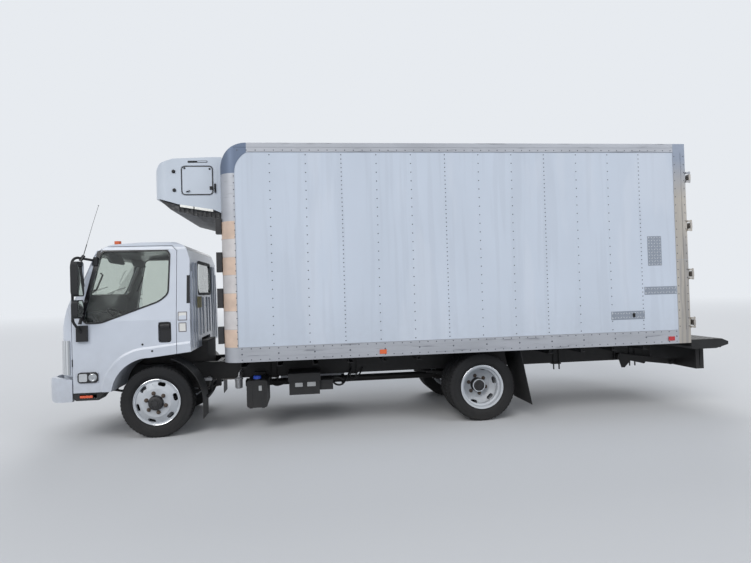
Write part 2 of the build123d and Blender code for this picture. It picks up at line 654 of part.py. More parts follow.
def bumper_form(inset):
    low_front, belly, low_rear, high_front, brow, high_rear, foot = at(
        ((-1149, 580), (-1115, 495), (-1030, 470), (-1149, 705), (-1100, BUMPER_TOP), (-BUMPER_REAR, 714),
         (-BUMPER_REAR, 470)))
    with BuildPart() as form:
        with BuildSketch(side_plane(CAB_HALF + 50)):
            with BuildLine():
                ThreePointArc(low_rear, belly, low_front)
                Polyline(low_front, high_front, brow, high_rear, foot, low_rear)
            make_face()
        extrude(amount=2 * CAB_HALF + 100)
        with BuildSketch(Plane.XY.offset(400)):
            with Locations((FRONT_X + inset + 1500, 0)):
                RectangleRounded(3000, 2 * (CAB_HALF - inset), NOSE_R - inset)
        extrude(amount=500, mode=Mode.INTERSECT)
    return form.part


with BuildPart() as bumper:
    add(bumper_form(0))
    add(bumper_form(BUMPER_WALL), mode=Mode.SUBTRACT)
    # air intake with a bar across it, and a round lamp recess on either side
    block((FRONT_X - 10, FRONT_X + 100), (-420, 420), (560, 660), mode=Mode.SUBTRACT)
    block((FRONT_X + 20, FRONT_X + 60), (-500, 500), (600, 620))
    for side, name in SIDES:
        rod(FRONT_X, side * FOG_LAMP[0], FOG_LAMP[1], FOG_LAMP_R, "x", 72, mode=Mode.SUBTRACT)
save(bumper.part, "bumper")

# Grille between the headlamps, and the black cowl under the windscreen
SLATS = 4
GRILLE_HALF = 450
with BuildPart() as grille:
    block((NOSE_X - 22, NOSE_X), (-GRILLE_HALF, GRILLE_HALF), (600, 1010))
    for row in range(SLATS):
        low = 792 + row * 54
        block((NOSE_X - 30, NOSE_X - 6), (-GRILLE_HALF + 24, GRILLE_HALF - 24), (low, low + 36), mode=Mode.SUBTRACT)
        prism([(NOSE_X - 22, low + 26), (NOSE_X - 22, low + 32), (NOSE_X - 6, low + 16), (NOSE_X - 6, low + 10)],
              (-GRILLE_HALF + 24, GRILLE_HALF - 24))
    for y in (-225, 0, 225):
        block((NOSE_X - 20, NOSE_X - 6), (y - 7, y + 7), (780, 1000))
    cowl_skin = cab_form(-5, -5) - cab_outer
    add(cowl_skin & region((AXLE_F - 1100, AXLE_F - 850), (-850, 850), (1572, 1638)))
save(grille.part, "front_grille")

# Headlamps wrap round the corners of the nose
LAMP_OUTLINE = ((470, 770), (1060, 770), (1060, 1150), (960, 1150), (470, 960))
lens_skin = cab_form(-LENS_PROUD, -LENS_PROUD) - cab_outer
with BuildPart() as headlamps:
    for side, name in SIDES:
        add(lens_skin & front_prism([(side * y, z) for y, z in LAMP_OUTLINE], (NOSE_X - 40, NOSE_X + 120)))
        rod(FRONT_X + 26, side * FOG_LAMP[0], FOG_LAMP[1], FOG_LAMP_R - 2, "x", 20)
save(headlamps.part, "headlamps")

# Dashboard with the steering column standing out of it
COLUMN_TOP = Vector(AXLE_F - 440, -560, 1360)
COLUMN_WAY = Vector(sin(radians(COLUMN_LEAN)), 0, cos(radians(COLUMN_LEAN)))
with BuildPart() as dashboard:
    with BuildSketch(side_plane(900)) as dash_side:
        with BuildLine():
            Polyline(*at(((-925, 1000), (-880, 1420), (-720, 1400), (-560, 1250), (-600, 1050), (-760, 960))),
                     close=True)
        make_face()
        fillet(dash_side.vertices(), 30)
    extrude(amount=1800)
    with BuildSketch(side_plane(-300)) as hood:
        with BuildLine():
            Polyline(*at(((-860, 1390), (-850, 1470), (-680, 1450), (-640, 1330))), close=True)
        make_face()
        fillet(hood.vertices().group_by(Axis.Y)[-1], 20)
    extrude(amount=520)
    with BuildSketch(Plane(COLUMN_TOP - COLUMN_WAY * 24, z_dir=-COLUMN_WAY)):
        Circle(36)
    extrude(amount=190)
save(dashboard.part, "dashboard")

# Two seats and a middle cushion: cushions and leaning backs with rounded edges, and headrests
BACK_LEAN = 8


def cushion(centre, size, radius, lean=0):
    """A padded block with rounded edges, leaning back by some degrees."""
    with BuildPart() as pad:
        Box(*size)
        fillet(pad.edges(), radius)
    return pad.part.moved(Location(centre, (0, lean, 0)))


with BuildPart() as seats:
    for y in (-650, 650):
        add(cushion((AXLE_F - 60, y, SEAT_BASE + 75), (500, 500, 150), 45))
        add(cushion((AXLE_F + 232, y, SEAT_BASE + 370), (120, 480, 600), 45, BACK_LEAN))
        add(cushion((AXLE_F + 276, y, SEAT_BASE + 720), (90, 260, 150), 35, BACK_LEAN))
    add(cushion((AXLE_F + 10, 0, TUNNEL_TOP + TUNNEL_WALL + 43), (500, 620, 86), 30))
save(seats.part, "seats")

with BuildPart(Plane(COLUMN_TOP, z_dir=COLUMN_WAY)) as steering_wheel:
    Torus(STEERING_WHEEL_R, 15)
    Cylinder(45, 36)
    for turn in (90, 210, 330):
        with PolarLocations(110, 1, start_angle=turn):
            Box(200, 26, 14)
save(steering_wheel.part, "steering_wheel")

# Door mirrors: a bent tube between two feet on the door, a flat head and a convex one below it
for side, name in SIDES:
    bend = [(AXLE_F + x, side * y, z) for x, y, z in (
        (-630, 925, 2040), (-808, MIRROR_OUT, 2078), (-808, MIRROR_OUT, 1358), (-755, 1045, 1225))]
    with BuildPart() as mirror:
        with BuildLine() as path:
            FilletPolyline(*bend, radius=70)
        with BuildSketch(Plane(path.line @ 0, z_dir=path.line % 0)):
            Circle(MIRROR_TUBE_R)
        sweep(path=path.line)
        prism(at(((-666, 1985), (-648, 2080), (-606, 2080), (-606, 1985))), span(side * 900, side * 957))
        block((AXLE_F - 813, AXLE_F - 696), span(side * CAB_HALF, side * (CAB_HALF + 36)), (1137, 1314))
        for low, high, half_width, deep in ((1640, 2021, 95, 63), (1400, 1600, 90, 55)):
            with BuildSketch(Plane.YZ.offset(AXLE_F - 782)):
                with Locations((side * MIRROR_OUT, (low + high) / 2)):
                    RectangleRounded(2 * half_width, high - low, 35)
            extrude(amount=deep)
            for z in (low + 60, high - 60):
                block((AXLE_F - 808, AXLE_F - 776), span(side * (MIRROR_OUT - 12), side * (MIRROR_OUT + 12)),
                      (z - 10, z + 10))
        add(cab_outer, mode=Mode.SUBTRACT)
    save(mirror.part, f"mirror_{name}")

# Entry steps under the doors, open in front of the tread
with BuildPart() as cab_steps:
    for side, name in SIDES:
        outline = ((-870, CAB_FLOOR), (-870, 505), (-840, 478), (-600, 478), (-535, CAB_FLOOR))
        prism(at(outline), span(side * 790, side * 1018))
        block((AXLE_F - 900, AXLE_F - 500), span(side * (CAB_HALF - DOOR_WALL - 8), side * 1030),
              (CAB_FLOOR - 8, CAB_FLOOR + 10), mode=Mode.SUBTRACT)
        block((AXLE_F - 800, AXLE_F - 620), span(side * 840, side * 1030), (500, 545), mode=Mode.SUBTRACT)
save(cab_steps.part, "cab_steps")

TAIL_LAMPS = (880, 1080)                        # distances from the middle
TAIL_LAMP_SIZE = (150, 26)
TAIL_LAMP_Z = 831


def tail_lamp(y, margin, mode=Mode.ADD):
    """One lamp in the bed extension's rear edge, or with a margin the pocket that holds it."""
    width, height = TAIL_LAMP_SIZE
    block((REAR_X - 20 - margin, REAR_X - 2 + 10 * margin), (y - width / 2 - margin, y + width / 2 + margin),
          (TAIL_LAMP_Z - height / 2 - margin, TAIL_LAMP_Z + height / 2 + margin), mode)


with BuildPart() as lamps:
    for y in (-760, -260, 0, 260, 760):
        rod(AXLE_F - 440, y, 2240, 38, "z", 64)
    add(cab_outer, mode=Mode.SUBTRACT)
    for side, name in SIDES:
        for x, z in ((2590, 904), (6178, 912)):
            block((AXLE_F + x - 40, AXLE_F + x + 40), span(side * BODY_HALF, side * (BODY_HALF + 10)), (z - 25, z + 25))
        # tail lamps in the bed extension's rear edge
        for y in TAIL_LAMPS:
            tail_lamp(side * y, 0)
    for y in (-900, -160, 0, 160, 900):
        block((BODY_X1, BODY_X1 + 12), (y - 45, y + 45), (BODY_TOP - 75, BODY_TOP - 45))
save(lamps.part, "marker_lamps")

# Mudguards: a curved liner and flap behind each front wheel, a flap behind each rear pair
with BuildPart() as mudguards:
    for side, name in SIDES:
        width = span(side * 660, side * 1000)
        liner = ARCH_LINER_R + 27
        with BuildSketch(side_plane(width[1])):
            with BuildLine():
                CenterArc((AXLE_F, AXLE_HEIGHT), liner, 0, 70)
                CenterArc((AXLE_F, AXLE_HEIGHT), liner + LINER_WALL, 0, 70)
                Line((AXLE_F + liner, AXLE_HEIGHT), (AXLE_F + liner + LINER_WALL, AXLE_HEIGHT))
                Line((AXLE_F + liner * cos(radians(70)), AXLE_HEIGHT + liner * sin(radians(70))),
                     (AXLE_F + (liner + LINER_WALL) * cos(radians(70)),
                      AXLE_HEIGHT + (liner + LINER_WALL) * sin(radians(70))))
            make_face()
        extrude(amount=width[1] - width[0])
        block((AXLE_F + liner, AXLE_F + liner + LINER_WALL), width, (200, AXLE_HEIGHT))
        block((AXLE_F + liner + LINER_WALL, AXLE_F + liner + LINER_WALL + 20),
              span(side * FRAME_WIDTH / 2, side * 760), (400, 424))
        block((AXLE_F + liner + LINER_WALL, AXLE_F + liner + LINER_WALL + 20),
              span(side * FRAME_WIDTH / 2, side * (FRAME_WIDTH / 2 + 20)), (400, 620))
        prism([(AXLE_R + 440, BODY_BOTTOM), (AXLE_R + 446, BODY_BOTTOM), (AXLE_R + 570, 190), (AXLE_R + 564, 190)],
              span(side * 590, side * 1180))
save(mudguards.part, "mudguards")

# Tanks and boxes beside the frame
with BuildPart() as def_tank:
    with BuildSketch(side_plane(-500)) as tank_side:
        with Locations((AXLE_F + 1130, (285 + 600) / 2)):
            RectangleRounded(240, 315, 35)
    extrude(amount=460)
    rod(AXLE_F + 1130, -900, 612, 38, "z", 40)
    block((AXLE_F + 1060, AXLE_F + 1200), (-510, -FRAME_WIDTH / 2), (575, 640))
    for x in (1060, 1200):
        block((AXLE_F + x - 15, AXLE_F + x + 15), (-964, -500), (280, 286))
        block((AXLE_F + x - 15, AXLE_F + x + 15), (-964, -960), (280, 560))
save(def_tank.part, "def_tank")

with BuildPart() as battery_box:
    block((AXLE_F + 1500, AXLE_F + 1860), (-900, -480), (400, 640))
    block((AXLE_F + 1488, AXLE_F + 1872), (-912, -468), (560, 652))
    block((AXLE_F + 1860, AXLE_F + 2020), (-860, -500), (440, 555))
    block((AXLE_F + 1520, AXLE_F + 1840), (-480, -FRAME_WIDTH / 2), (575, 640))
save(battery_box.part, "battery_box")

TANK_X = 1340
with BuildPart() as fuel_tank:
    with BuildSketch(Plane.YZ.offset(AXLE_F + TANK_X)):
        with Locations((700, 470)):
            RectangleRounded(460, 340, 90)
    extrude(amount=900)
    for x in (TANK_X + 120, TANK_X + 430, TANK_X + 740):
        with BuildSketch(Plane.YZ.offset(AXLE_F + x)):
            with Locations((700, 470)):
                RectangleRounded(472, 352, 96)
        extrude(amount=50)
        block((AXLE_F + x, AXLE_F + x + 50), (FRAME_WIDTH / 2, 560), (575, 652))
    rod(AXLE_F + TANK_X + 300, 890, 600, 42, "y", 120)
save(fuel_tank.part, "fuel_tank")

# Exhaust: inlet pipe, silencer and a tailpipe that turns outwards ahead of the rear wheels
PIPE_Y = 620
PIPE_Z = 480
with BuildPart() as exhaust:
    rod(AXLE_F + 1050, PIPE_Y, PIPE_Z, 130, "x", 300)
    for x in (915, 1185):
        rod(AXLE_F + x, PIPE_Y, PIPE_Z, 136, "x", 14)
    # columns: pipe's corners, pipe's radius, radius of its bends
    for corners, radius, bend in (
            (((486, 230, 500), (720, 230, 490), (840, PIPE_Y, PIPE_Z), (905, PIPE_Y, PIPE_Z)), 40, 70),
            (((1190, PIPE_Y, PIPE_Z), (1262, PIPE_Y, PIPE_Z), (1262, 1010, 330)), 30, 50)):
        with BuildLine() as run:
            FilletPolyline(*[(AXLE_F + x, y, z) for x, y, z in corners], radius=bend)
        with BuildSketch(Plane(run.line @ 0, z_dir=run.line % 0)):
            Circle(radius)
        sweep(path=run.line)
    block((AXLE_F + 1000, AXLE_F + 1050), (FRAME_WIDTH / 2, PIPE_Y), (575, 620))
save(exhaust.part, "exhaust")

# Box body: one form, hollowed, and split where its rails, posts and panels meet


def body_form(inset):
    """The body's outside drawn in by a margin: rounded front corners and a rounded front top edge."""
    with BuildPart() as form:
        with BuildSketch(side_plane(BODY_HALF + 50)) as side_view:
            with BuildLine():
                Polyline((BODY_X0 + inset, BODY_BOTTOM - 50), (BODY_X0 + inset, BODY_TOP - inset),
                         (BODY_X1 + 50, BODY_TOP - inset), (BODY_X1 + 50, BODY_BOTTOM - 50), close=True)
            make_face()
            fillet(corner_at(side_view, BODY_X0 + inset, BODY_TOP - inset), BODY_NOSE_R - inset)
        extrude(amount=2 * BODY_HALF + 100)
        with BuildSketch(Plane.XY.offset(BODY_BOTTOM)) as plan_view:
            with Locations((BODY_X0 + inset + (BODY_LENGTH + 400) / 2, 0)):
                Rectangle(BODY_LENGTH + 400, 2 * (BODY_HALF - inset))
            fillet(plan_view.vertices().group_by(Axis.X)[0], BODY_CORNER_R - inset)
        extrude(amount=BODY_TOP - BODY_BOTTOM, mode=Mode.INTERSECT)
        block((BODY_X1, BODY_X1 + 500), (-2000, 2000), (0, 4000), mode=Mode.SUBTRACT)
    return form.part


body_outer = body_form(0)
body_inner = body_form(BODY_WALL)
metal = body_outer - body_inner
panel = body_form(PANEL_RECESS) - body_inner

# The side panels' outline: square at the rear, curved in under the front corner cap
with BuildPart() as side_region:
    with BuildSketch(side_plane(BODY_HALF + 20)):
        with BuildLine():
            Line((POST_X, RAIL_TOP), (POST_X, PANEL_TOP - 245))
            ThreePointArc((POST_X, PANEL_TOP - 245), (POST_X + 45, PANEL_TOP - 85), (POST_X + 142, PANEL_TOP))
            Polyline((POST_X + 142, PANEL_TOP), (REAR_POST_X, PANEL_TOP), (REAR_POST_X, RAIL_TOP),
                     (POST_X, RAIL_TOP))
        make_face()
    extrude(amount=2 * BODY_HALF + 40)

for side, name in SIDES:
    half = region((BODY_X0 - 100, BODY_X1 + 100), span(side * ROOF_HALF, side * 2000), (0, 4000))
    with BuildPart() as wall:
        add(panel & side_region.part & half)
    save(wall.part, f"box_wall_{name}")

with BuildPart() as roof:
    block((ROOF_X, REAR_POST_X), (-ROOF_HALF, ROOF_HALF), (BODY_TOP - BODY_WALL, BODY_TOP - PANEL_RECESS))
save(roof.part, "box_roof")

with BuildPart() as front_wall:
    with BuildSketch(side_plane(POST_Y)):
        with BuildLine():
            skin = BODY_X0 + PANEL_RECESS
            lining = BODY_X0 + BODY_WALL
            centre = (BODY_X0 + BODY_NOSE_R, BODY_TOP - BODY_NOSE_R)
            Line((lining, BODY_BOTTOM), (skin, BODY_BOTTOM))
            Line((skin, BODY_BOTTOM), (skin, centre[1]))
            CenterArc(centre, BODY_NOSE_R - PANEL_RECESS, 180, -90)
            Polyline((centre[0], BODY_TOP - PANEL_RECESS), (ROOF_X, BODY_TOP - PANEL_RECESS),
                     (ROOF_X, BODY_TOP - BODY_WALL), (centre[0], BODY_TOP - BODY_WALL))
            CenterArc(centre, BODY_NOSE_R - BODY_WALL, 90, 90)
            Line((lining, centre[1]), (lining, BODY_BOTTOM))
        make_face()
    extrude(amount=2 * POST_Y)
save(front_wall.part, "box_front_wall")

with BuildPart() as rails:
    add(metal & region((BODY_X0 - 10, REAR_POST_X), (-2000, 2000), (0, 4000)))
    add(side_region.part, mode=Mode.SUBTRACT)
    block((ROOF_X, REAR_POST_X), (-ROOF_HALF, ROOF_HALF), (BODY_TOP - BODY_WALL - 50, BODY_TOP + 10),
          mode=Mode.SUBTRACT)
    block((BODY_X0 - 10, ROOF_X), (-POST_Y, POST_Y), (BODY_BOTTOM - 10, BODY_TOP + 10), mode=Mode.SUBTRACT)
    height, depth = RAIL_GROOVE
    for side, name in SIDES:
        # rolled grooves of the bottom and top rails
        for z in (BODY_BOTTOM + 52, BODY_BOTTOM + 112, PANEL_TOP + 48):
            block((POST_X, REAR_POST_X), span(side * (BODY_HALF - depth), side * (BODY_HALF + 10)),
                  (z, z + height), mode=Mode.SUBTRACT)
save(rails.part, "box_rails")

with BuildPart() as rear_frame:
    block((REAR_POST_X, BODY_X1), (-BODY_HALF, BODY_HALF), (BODY_BOTTOM, BODY_TOP))
    block((REAR_POST_X - 10, BODY_X1 + 10), (-BODY_HALF + JAMB, BODY_HALF - JAMB), (FLOOR_TOP, BODY_TOP - HEADER),
          mode=Mode.SUBTRACT)
    for side, name in SIDES:
        # the post's upright fold
        block((REAR_POST_X + 96, REAR_POST_X + 102), span(side * (BODY_HALF - 3), side * (BODY_HALF + 10)),
              (RAIL_TOP, PANEL_TOP), mode=Mode.SUBTRACT)
        for z in HINGE_HEIGHTS:
            rod(HINGE_X, side * HINGE_Y, z, HINGE_PIN_R, "z", 140)
            for low in (z - 65, z + 41):
                block((BODY_X1, HINGE_X + 8), span(side * (HINGE_Y - 8), side * (HINGE_Y + 8)), (low, low + 24))
                block((BODY_X1, BODY_X1 + 8), span(side * (HINGE_Y - 60), side * (HINGE_Y + 8)), (low, low + 24))
save(rear_frame.part, "box_rear_frame")

# Floor: a plate with long raised ribs that let cold air pass under the load
with BuildPart() as floor:
    rib_width, rib_height, rib_pitch = FLOOR_RIB
    add(body_inner & region((BODY_X0 - 5, REAR_POST_X), (-ROOF_HALF, ROOF_HALF), (SILL_HIGH, FLOOR_TOP)))
    for lane in range(-13, 14):
        y = lane * rib_pitch
        block((BODY_X0 + BODY_NOSE_R, REAR_POST_X), (y + rib_width, y + rib_pitch - rib_width),
              (FLOOR_TOP - rib_height, FLOOR_TOP + 10), mode=Mode.SUBTRACT)
save(floor.part, "box_floor")

with BuildPart() as sills:
    width, depth = CROSS_SILL
    sills_along = int((REAR_POST_X - width - BODY_X0 - BODY_CORNER_R - 10) // CROSS_SILL_PITCH) + 1
    for sill in range(sills_along):
        x = BODY_X0 + BODY_CORNER_R + 10 + sill * CROSS_SILL_PITCH
        over_wheels = AXLE_R - TYRE_R - 60 < x < AXLE_R + TYRE_R + 20
        reach = FRAME_WIDTH / 2 + 60 if over_wheels else ROOF_HALF
        block((x, x + width), (-reach, reach), (SILL_LOW, SILL_HIGH))
        block((x + 8, x + width + 1), (-reach - 10, reach + 10), (SILL_LOW + 8, SILL_HIGH - 8), mode=Mode.SUBTRACT)
    for side, name in SIDES:
        edge = side * FRAME_WIDTH / 2
        block((BODY_X0 + BODY_WALL, REAR_POST_X), span(edge, edge - side * FRAME_FLANGE), (SILL_LOW, SILL_HIGH))
save(sills.part, "body_sills")

# Rear doors, each with two lock rods, a handle and four hinge straps
ROD_Y = (120, 560)
KEEPERS = (DOOR_LOW + 60, 1400, 2000, 2600, DOOR_HIGH - 60)
for side, name in SIDES:
    outer_y = side * (BODY_HALF - JAMB - CARGO_DOOR_GAP)
    inner_y = side * CARGO_DOOR_GAP / 2
    with BuildPart() as cargo_door:
        block((DOOR_X0, DOOR_X1), span(inner_y, outer_y), (DOOR_LOW, DOOR_HIGH))
        # sealing lip, stepped in from the door's face
        rim = 30
        for y in (span(inner_y, inner_y + side * rim / 3), span(outer_y, outer_y - side * rim)):
            block((DOOR_X0 - 1, DOOR_X0 + rim), y, (DOOR_LOW, DOOR_HIGH), mode=Mode.SUBTRACT)
    save(cargo_door.part, f"cargo_door_{name}")
    with BuildPart() as rods:
        for y in ROD_Y:
            rod(DOOR_X1 + 26, side * y, (DOOR_LOW + DOOR_HIGH) / 2, LOCK_ROD_R, "z", DOOR_HIGH - DOOR_LOW - 20)
            for z in KEEPERS:
                block((DOOR_X1, DOOR_X1 + 30), span(side * y - 30, side * y + 30), (z - 30, z + 30))
                rod(DOOR_X1 + 26, side * y, z, LOCK_ROD_R + 6, "z", 60)
            # the rod's handle, folded flat to the door
            block((DOOR_X1 + 12, DOOR_X1 + 34), span(side * y, side * (y + 300)), (1290 + y / 10, 1318 + y / 10))
            block((DOOR_X1, DOOR_X1 + 34), span(side * (y + 262), side * (y + 300)), (1278 + y / 10, 1330 + y / 10))
        for z in HINGE_HEIGHTS:
            block((DOOR_X1, DOOR_X1 + 10), span(outer_y, outer_y - side * 200), (z - 35, z + 35))
            block((DOOR_X1, HINGE_X), span(outer_y, outer_y - side * 12), (z - 35, z + 35))
            block((HINGE_X - 10, HINGE_X), span(outer_y - side * 12, side * HINGE_Y), (z - 35, z + 35))
            rod(HINGE_X, side * HINGE_Y, z, HINGE_KNUCKLE_R, "z", 70)
            rod(HINGE_X, side * HINGE_Y, z, HINGE_PIN_R + RUNNING_FIT, "z", 80, mode=Mode.SUBTRACT)
    save(rods.part, f"door_rods_{name}")

# Cooling unit on the nose. Columns: place behind the front axle, height, radius of the corner
UNIT_SIDE = ((26, 2748, 0), (26, 3060, 60), (90, 3150, 90), (240, 3200, 0), (690, 3217, 0), (790, 3217, 0),
             (790, 2560, 0), (680, 2607, 0), (301, 2670, 0), (40, 2748, 0))
SHROUD_SIDE = ((70, 2735), (301, 2666), (680, 2603), (790, 2556), (790, 2500), (479, 2539), (199, 2617))
HATCH = ((329, 695), (2771, 3119))              # hatch opening: along the truck, height
INTAKE = (720, 2800, 3010)                      # half width, lowest, highest
INTAKE_SLATS = 6
with BuildPart() as unit:
    with BuildSketch(side_plane(UNIT_HALF)) as unit_side:
        with BuildLine():
            Polyline(*at([(x, z) for x, z, corner in UNIT_SIDE]), close=True)
        make_face()
        for x, z, corner in UNIT_SIDE:
            if corner:
                fillet(corner_at(unit_side, AXLE_F + x, z), corner)
    extrude(amount=2 * UNIT_HALF)
    with BuildSketch(Plane.XY.offset(2400)) as unit_plan:
        with Locations((AXLE_F + UNIT_FRONT + 1000, 0)):
            Rectangle(2000, 2 * UNIT_HALF)
        fillet(unit_plan.vertices().group_by(Axis.X)[0], UNIT_CORNER_R)
    extrude(amount=1000, mode=Mode.INTERSECT)
    unit_front = AXLE_F + UNIT_FRONT
    half, low, high = INTAKE
    block((unit_front - 10, unit_front + 40), (-half, half), (low, high), mode=Mode.SUBTRACT)
    for slat in range(INTAKE_SLATS):
        z = low + (slat + 0.5) * (high - low) / INTAKE_SLATS
        prism([(unit_front + 4, z - 10), (unit_front + 40, z + 8), (unit_front + 40, z + 13), (unit_front + 4, z - 5)],
              (-half, half))
    for y in (-half / 3, half / 3):
        block((unit_front + 2, unit_front + 40), (y - 6, y + 6), (low, high))
    (hatch_x, hatch_z) = HATCH
    for side, name in SIDES:
        with BuildSketch(side_plane(side * (UNIT_HALF - 14) + 16)) as hole:
            with Locations((AXLE_F + sum(hatch_x) / 2, sum(hatch_z) / 2)):
                RectangleRounded(hatch_x[1] - hatch_x[0], hatch_z[1] - hatch_z[0], HATCH_R)
        extrude(amount=32, mode=Mode.SUBTRACT)
        # vent slot over the hatch
        block((AXLE_F + 380, AXLE_F + 640), span(side * (UNIT_HALF - 60), side * (UNIT_HALF - 36)), (3190, 3230),
              mode=Mode.SUBTRACT)
save(unit.part, "unit_housing")

for side, name in SIDES:
    with BuildPart() as hatch:
        with BuildSketch(side_plane(side * (UNIT_HALF - 10) + 14)):
            with Locations((AXLE_F + sum(hatch_x) / 2, sum(hatch_z) / 2)):
                RectangleRounded(hatch_x[1] - hatch_x[0] - 2 * HATCH_GAP, hatch_z[1] - hatch_z[0] - 2 * HATCH_GAP,
                                 HATCH_R - HATCH_GAP)
        extrude(amount=28)
    save(hatch.part, f"unit_hatch_{name}")

# Louvred shroud under the unit, swept up towards the front
with BuildPart() as shroud:
    prism(at(SHROUD_SIDE), (-UNIT_HALF + 30, UNIT_HALF - 30))
    for side, name in SIDES:
        for x in range(300, 760, 50):
            block((AXLE_F + x, AXLE_F + x + 26), span(side * (UNIT_HALF - 42), side * UNIT_HALF), (2480, 2740),
                  mode=Mode.SUBTRACT)
save(shroud.part, "unit_shroud")

with BuildPart() as evaporator:
    front = BODY_X0 + BODY_WALL + 4
    top = BODY_TOP - BODY_WALL
    bend = BODY_NOSE_R - BODY_WALL
    prism([(front, 2760), (front, top - bend), (front + bend, top), (front + 450, top), (front + 450, 2880),
           (front + 370, 2760)], (-700, 700))
    for y in (-450, 0, 450):
        rod(front + 440, y, 3060, 150, "x", 40, mode=Mode.SUBTRACT)
        rod(front + 432, y, 3060, 46, "x", 24)
        for turn in range(0, 180, 45):
            with Locations(Location((front + 430, y, 3060), (turn, 0, 0))):
                Box(6, 308, 14)
save(evaporator.part, "evaporator")

# Climbing loops up both front corners
STEP_BAR = 16
with BuildPart() as steps:
    for side, name in SIDES:
        for low, high in ((1055, 1249), (1462, 1684), (1869, 2095), (2305, 2474)):
            width = span(side * 1015, side * 1115)
            block((BODY_X0 - 62, BODY_X0), width, (low, high))
            block((BODY_X0 - 80, BODY_X0 - 8), (width[0] + STEP_BAR, width[1] - STEP_BAR),
                  (low + STEP_BAR, high - STEP_BAR), mode=Mode.SUBTRACT)
save(steps.part, "climbing_steps")

# Tail lift: bed extension, arms and the platform folded under it
EXTENSION_LOW = FLOOR_TOP - EXTENSION_DEPTH
with BuildPart() as extension:
    prism([(BODY_X1, FLOOR_TOP), (REAR_X - 83, FLOOR_TOP), (REAR_X, FLOOR_TOP - 34),
           (REAR_X, FLOOR_TOP - EXTENSION_EDGE), (REAR_X - 165, EXTENSION_LOW), (BODY_X1 + 30, EXTENSION_LOW),
           (BODY_X1, EXTENSION_LOW + 32)], (-BODY_HALF, BODY_HALF))
    bays = 8
    bay = 2 * BODY_HALF / bays
    for number in range(bays):
        low = -BODY_HALF + number * bay
        block((BODY_X1 + 50, REAR_X - 190), (low + 10, low + bay - 10), (EXTENSION_LOW - 10, FLOOR_TOP - 10),
              mode=Mode.SUBTRACT)
    for side, name in SIDES:
        for y in TAIL_LAMPS:
            tail_lamp(side * y, 1, Mode.SUBTRACT)
save(extension.part, "bed_extension")

with BuildPart() as lift_arms:
    arm_y = sum(ARM_Y) / 2
    arm_width = ARM_Y[1] - ARM_Y[0]
    for side, name in SIDES:
        prism([(ARM_X, ARM_Z - 40), (ARM_X, ARM_Z + 40), (PIVOT_X, PIVOT_Z + 34), (PIVOT_X, PIVOT_Z - 34)],
              span(side * ARM_Y[0], side * ARM_Y[1]))
        rod(ARM_X, side * arm_y, ARM_Z, 45, "y", arm_width)
        rod(PIVOT_X, side * arm_y, PIVOT_Z, EYE_R, "y", arm_width)
        # the lever under each arm that its cylinder pushes
        prism([(ARM_X - 20, ARM_Z - 30), (ARM_X + 160, ARM_Z - 50), (ARM_X + 60, ARM_Z - 150),
               (ARM_X + 20, ARM_Z - 150)], span(side * (ARM_Y[0] + 12), side * (ARM_Y[1] - 12)))
    rod(ARM_X + 350, 0, ARM_Z - 88, 25, "y", 2 * ARM_Y[0] + 10)
    for side, name in SIDES:
        rod(ARM_X, side * arm_y, ARM_Z, LIFT_PIN_R + RUNNING_FIT, "y", 60, mode=Mode.SUBTRACT)
        rod(PIVOT_X, side * arm_y, PIVOT_Z, LIFT_PIN_R + RUNNING_FIT, "y", 60, mode=Mode.SUBTRACT)
save(lift_arms.part, "lift_arms")

with BuildPart() as lift_platform:
    for leaf in (0, PLATE_WALL + 10):
        front = PLATE_X + leaf
        block((front, front + PLATE_WALL), (-PLATE_HALF, PLATE_HALF), (PLATE_LOW, PLATE_HIGH))
        # the open underside of each leaf, between its ribs
        open_face = (front + 10, front + PLATE_WALL + 1)
        for number in range(6):
            low = -PLATE_HALF + number * PLATE_HALF / 3
            block(open_face, (low + 8, low + PLATE_HALF / 3 - 8), (PLATE_LOW + 40, PLATE_HIGH - 10), mode=Mode.SUBTRACT)
    block((PLATE_X, PLATE_X + 2 * PLATE_WALL + 10), (-PLATE_HALF, PLATE_HALF), (PLATE_LOW, PLATE_LOW + 30))
    for side, name in SIDES:
        lug = span(side * (ARM_Y[1] + 6), side * (ARM_Y[1] + 26))
        block((PIVOT_X, PLATE_X), lug, (PIVOT_Z - 25, PIVOT_Z + 25))
        rod(PIVOT_X, side * (ARM_Y[1] + 16), PIVOT_Z, 25, "y", 20)
        rod(PIVOT_X, side * arm_y, PIVOT_Z, LIFT_PIN_R, "y", 60)
save(lift_platform.part, "lift_platform")
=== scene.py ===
"""Looks of the refrigerated truck: materials for its CAD nodes and the pieces too fine for CAD.

Metres. In the frame the truck faces -X, its left side is -Y and the ground is Z = 0. The pieces are laid out
in distances behind the front axle, out from the truck's middle and above the ground.
"""
import json
from math import acos, atan2, cos, degrees, hypot, pi, radians, sin, sqrt

import bmesh
import bpy
from mathutils import Matrix, Vector


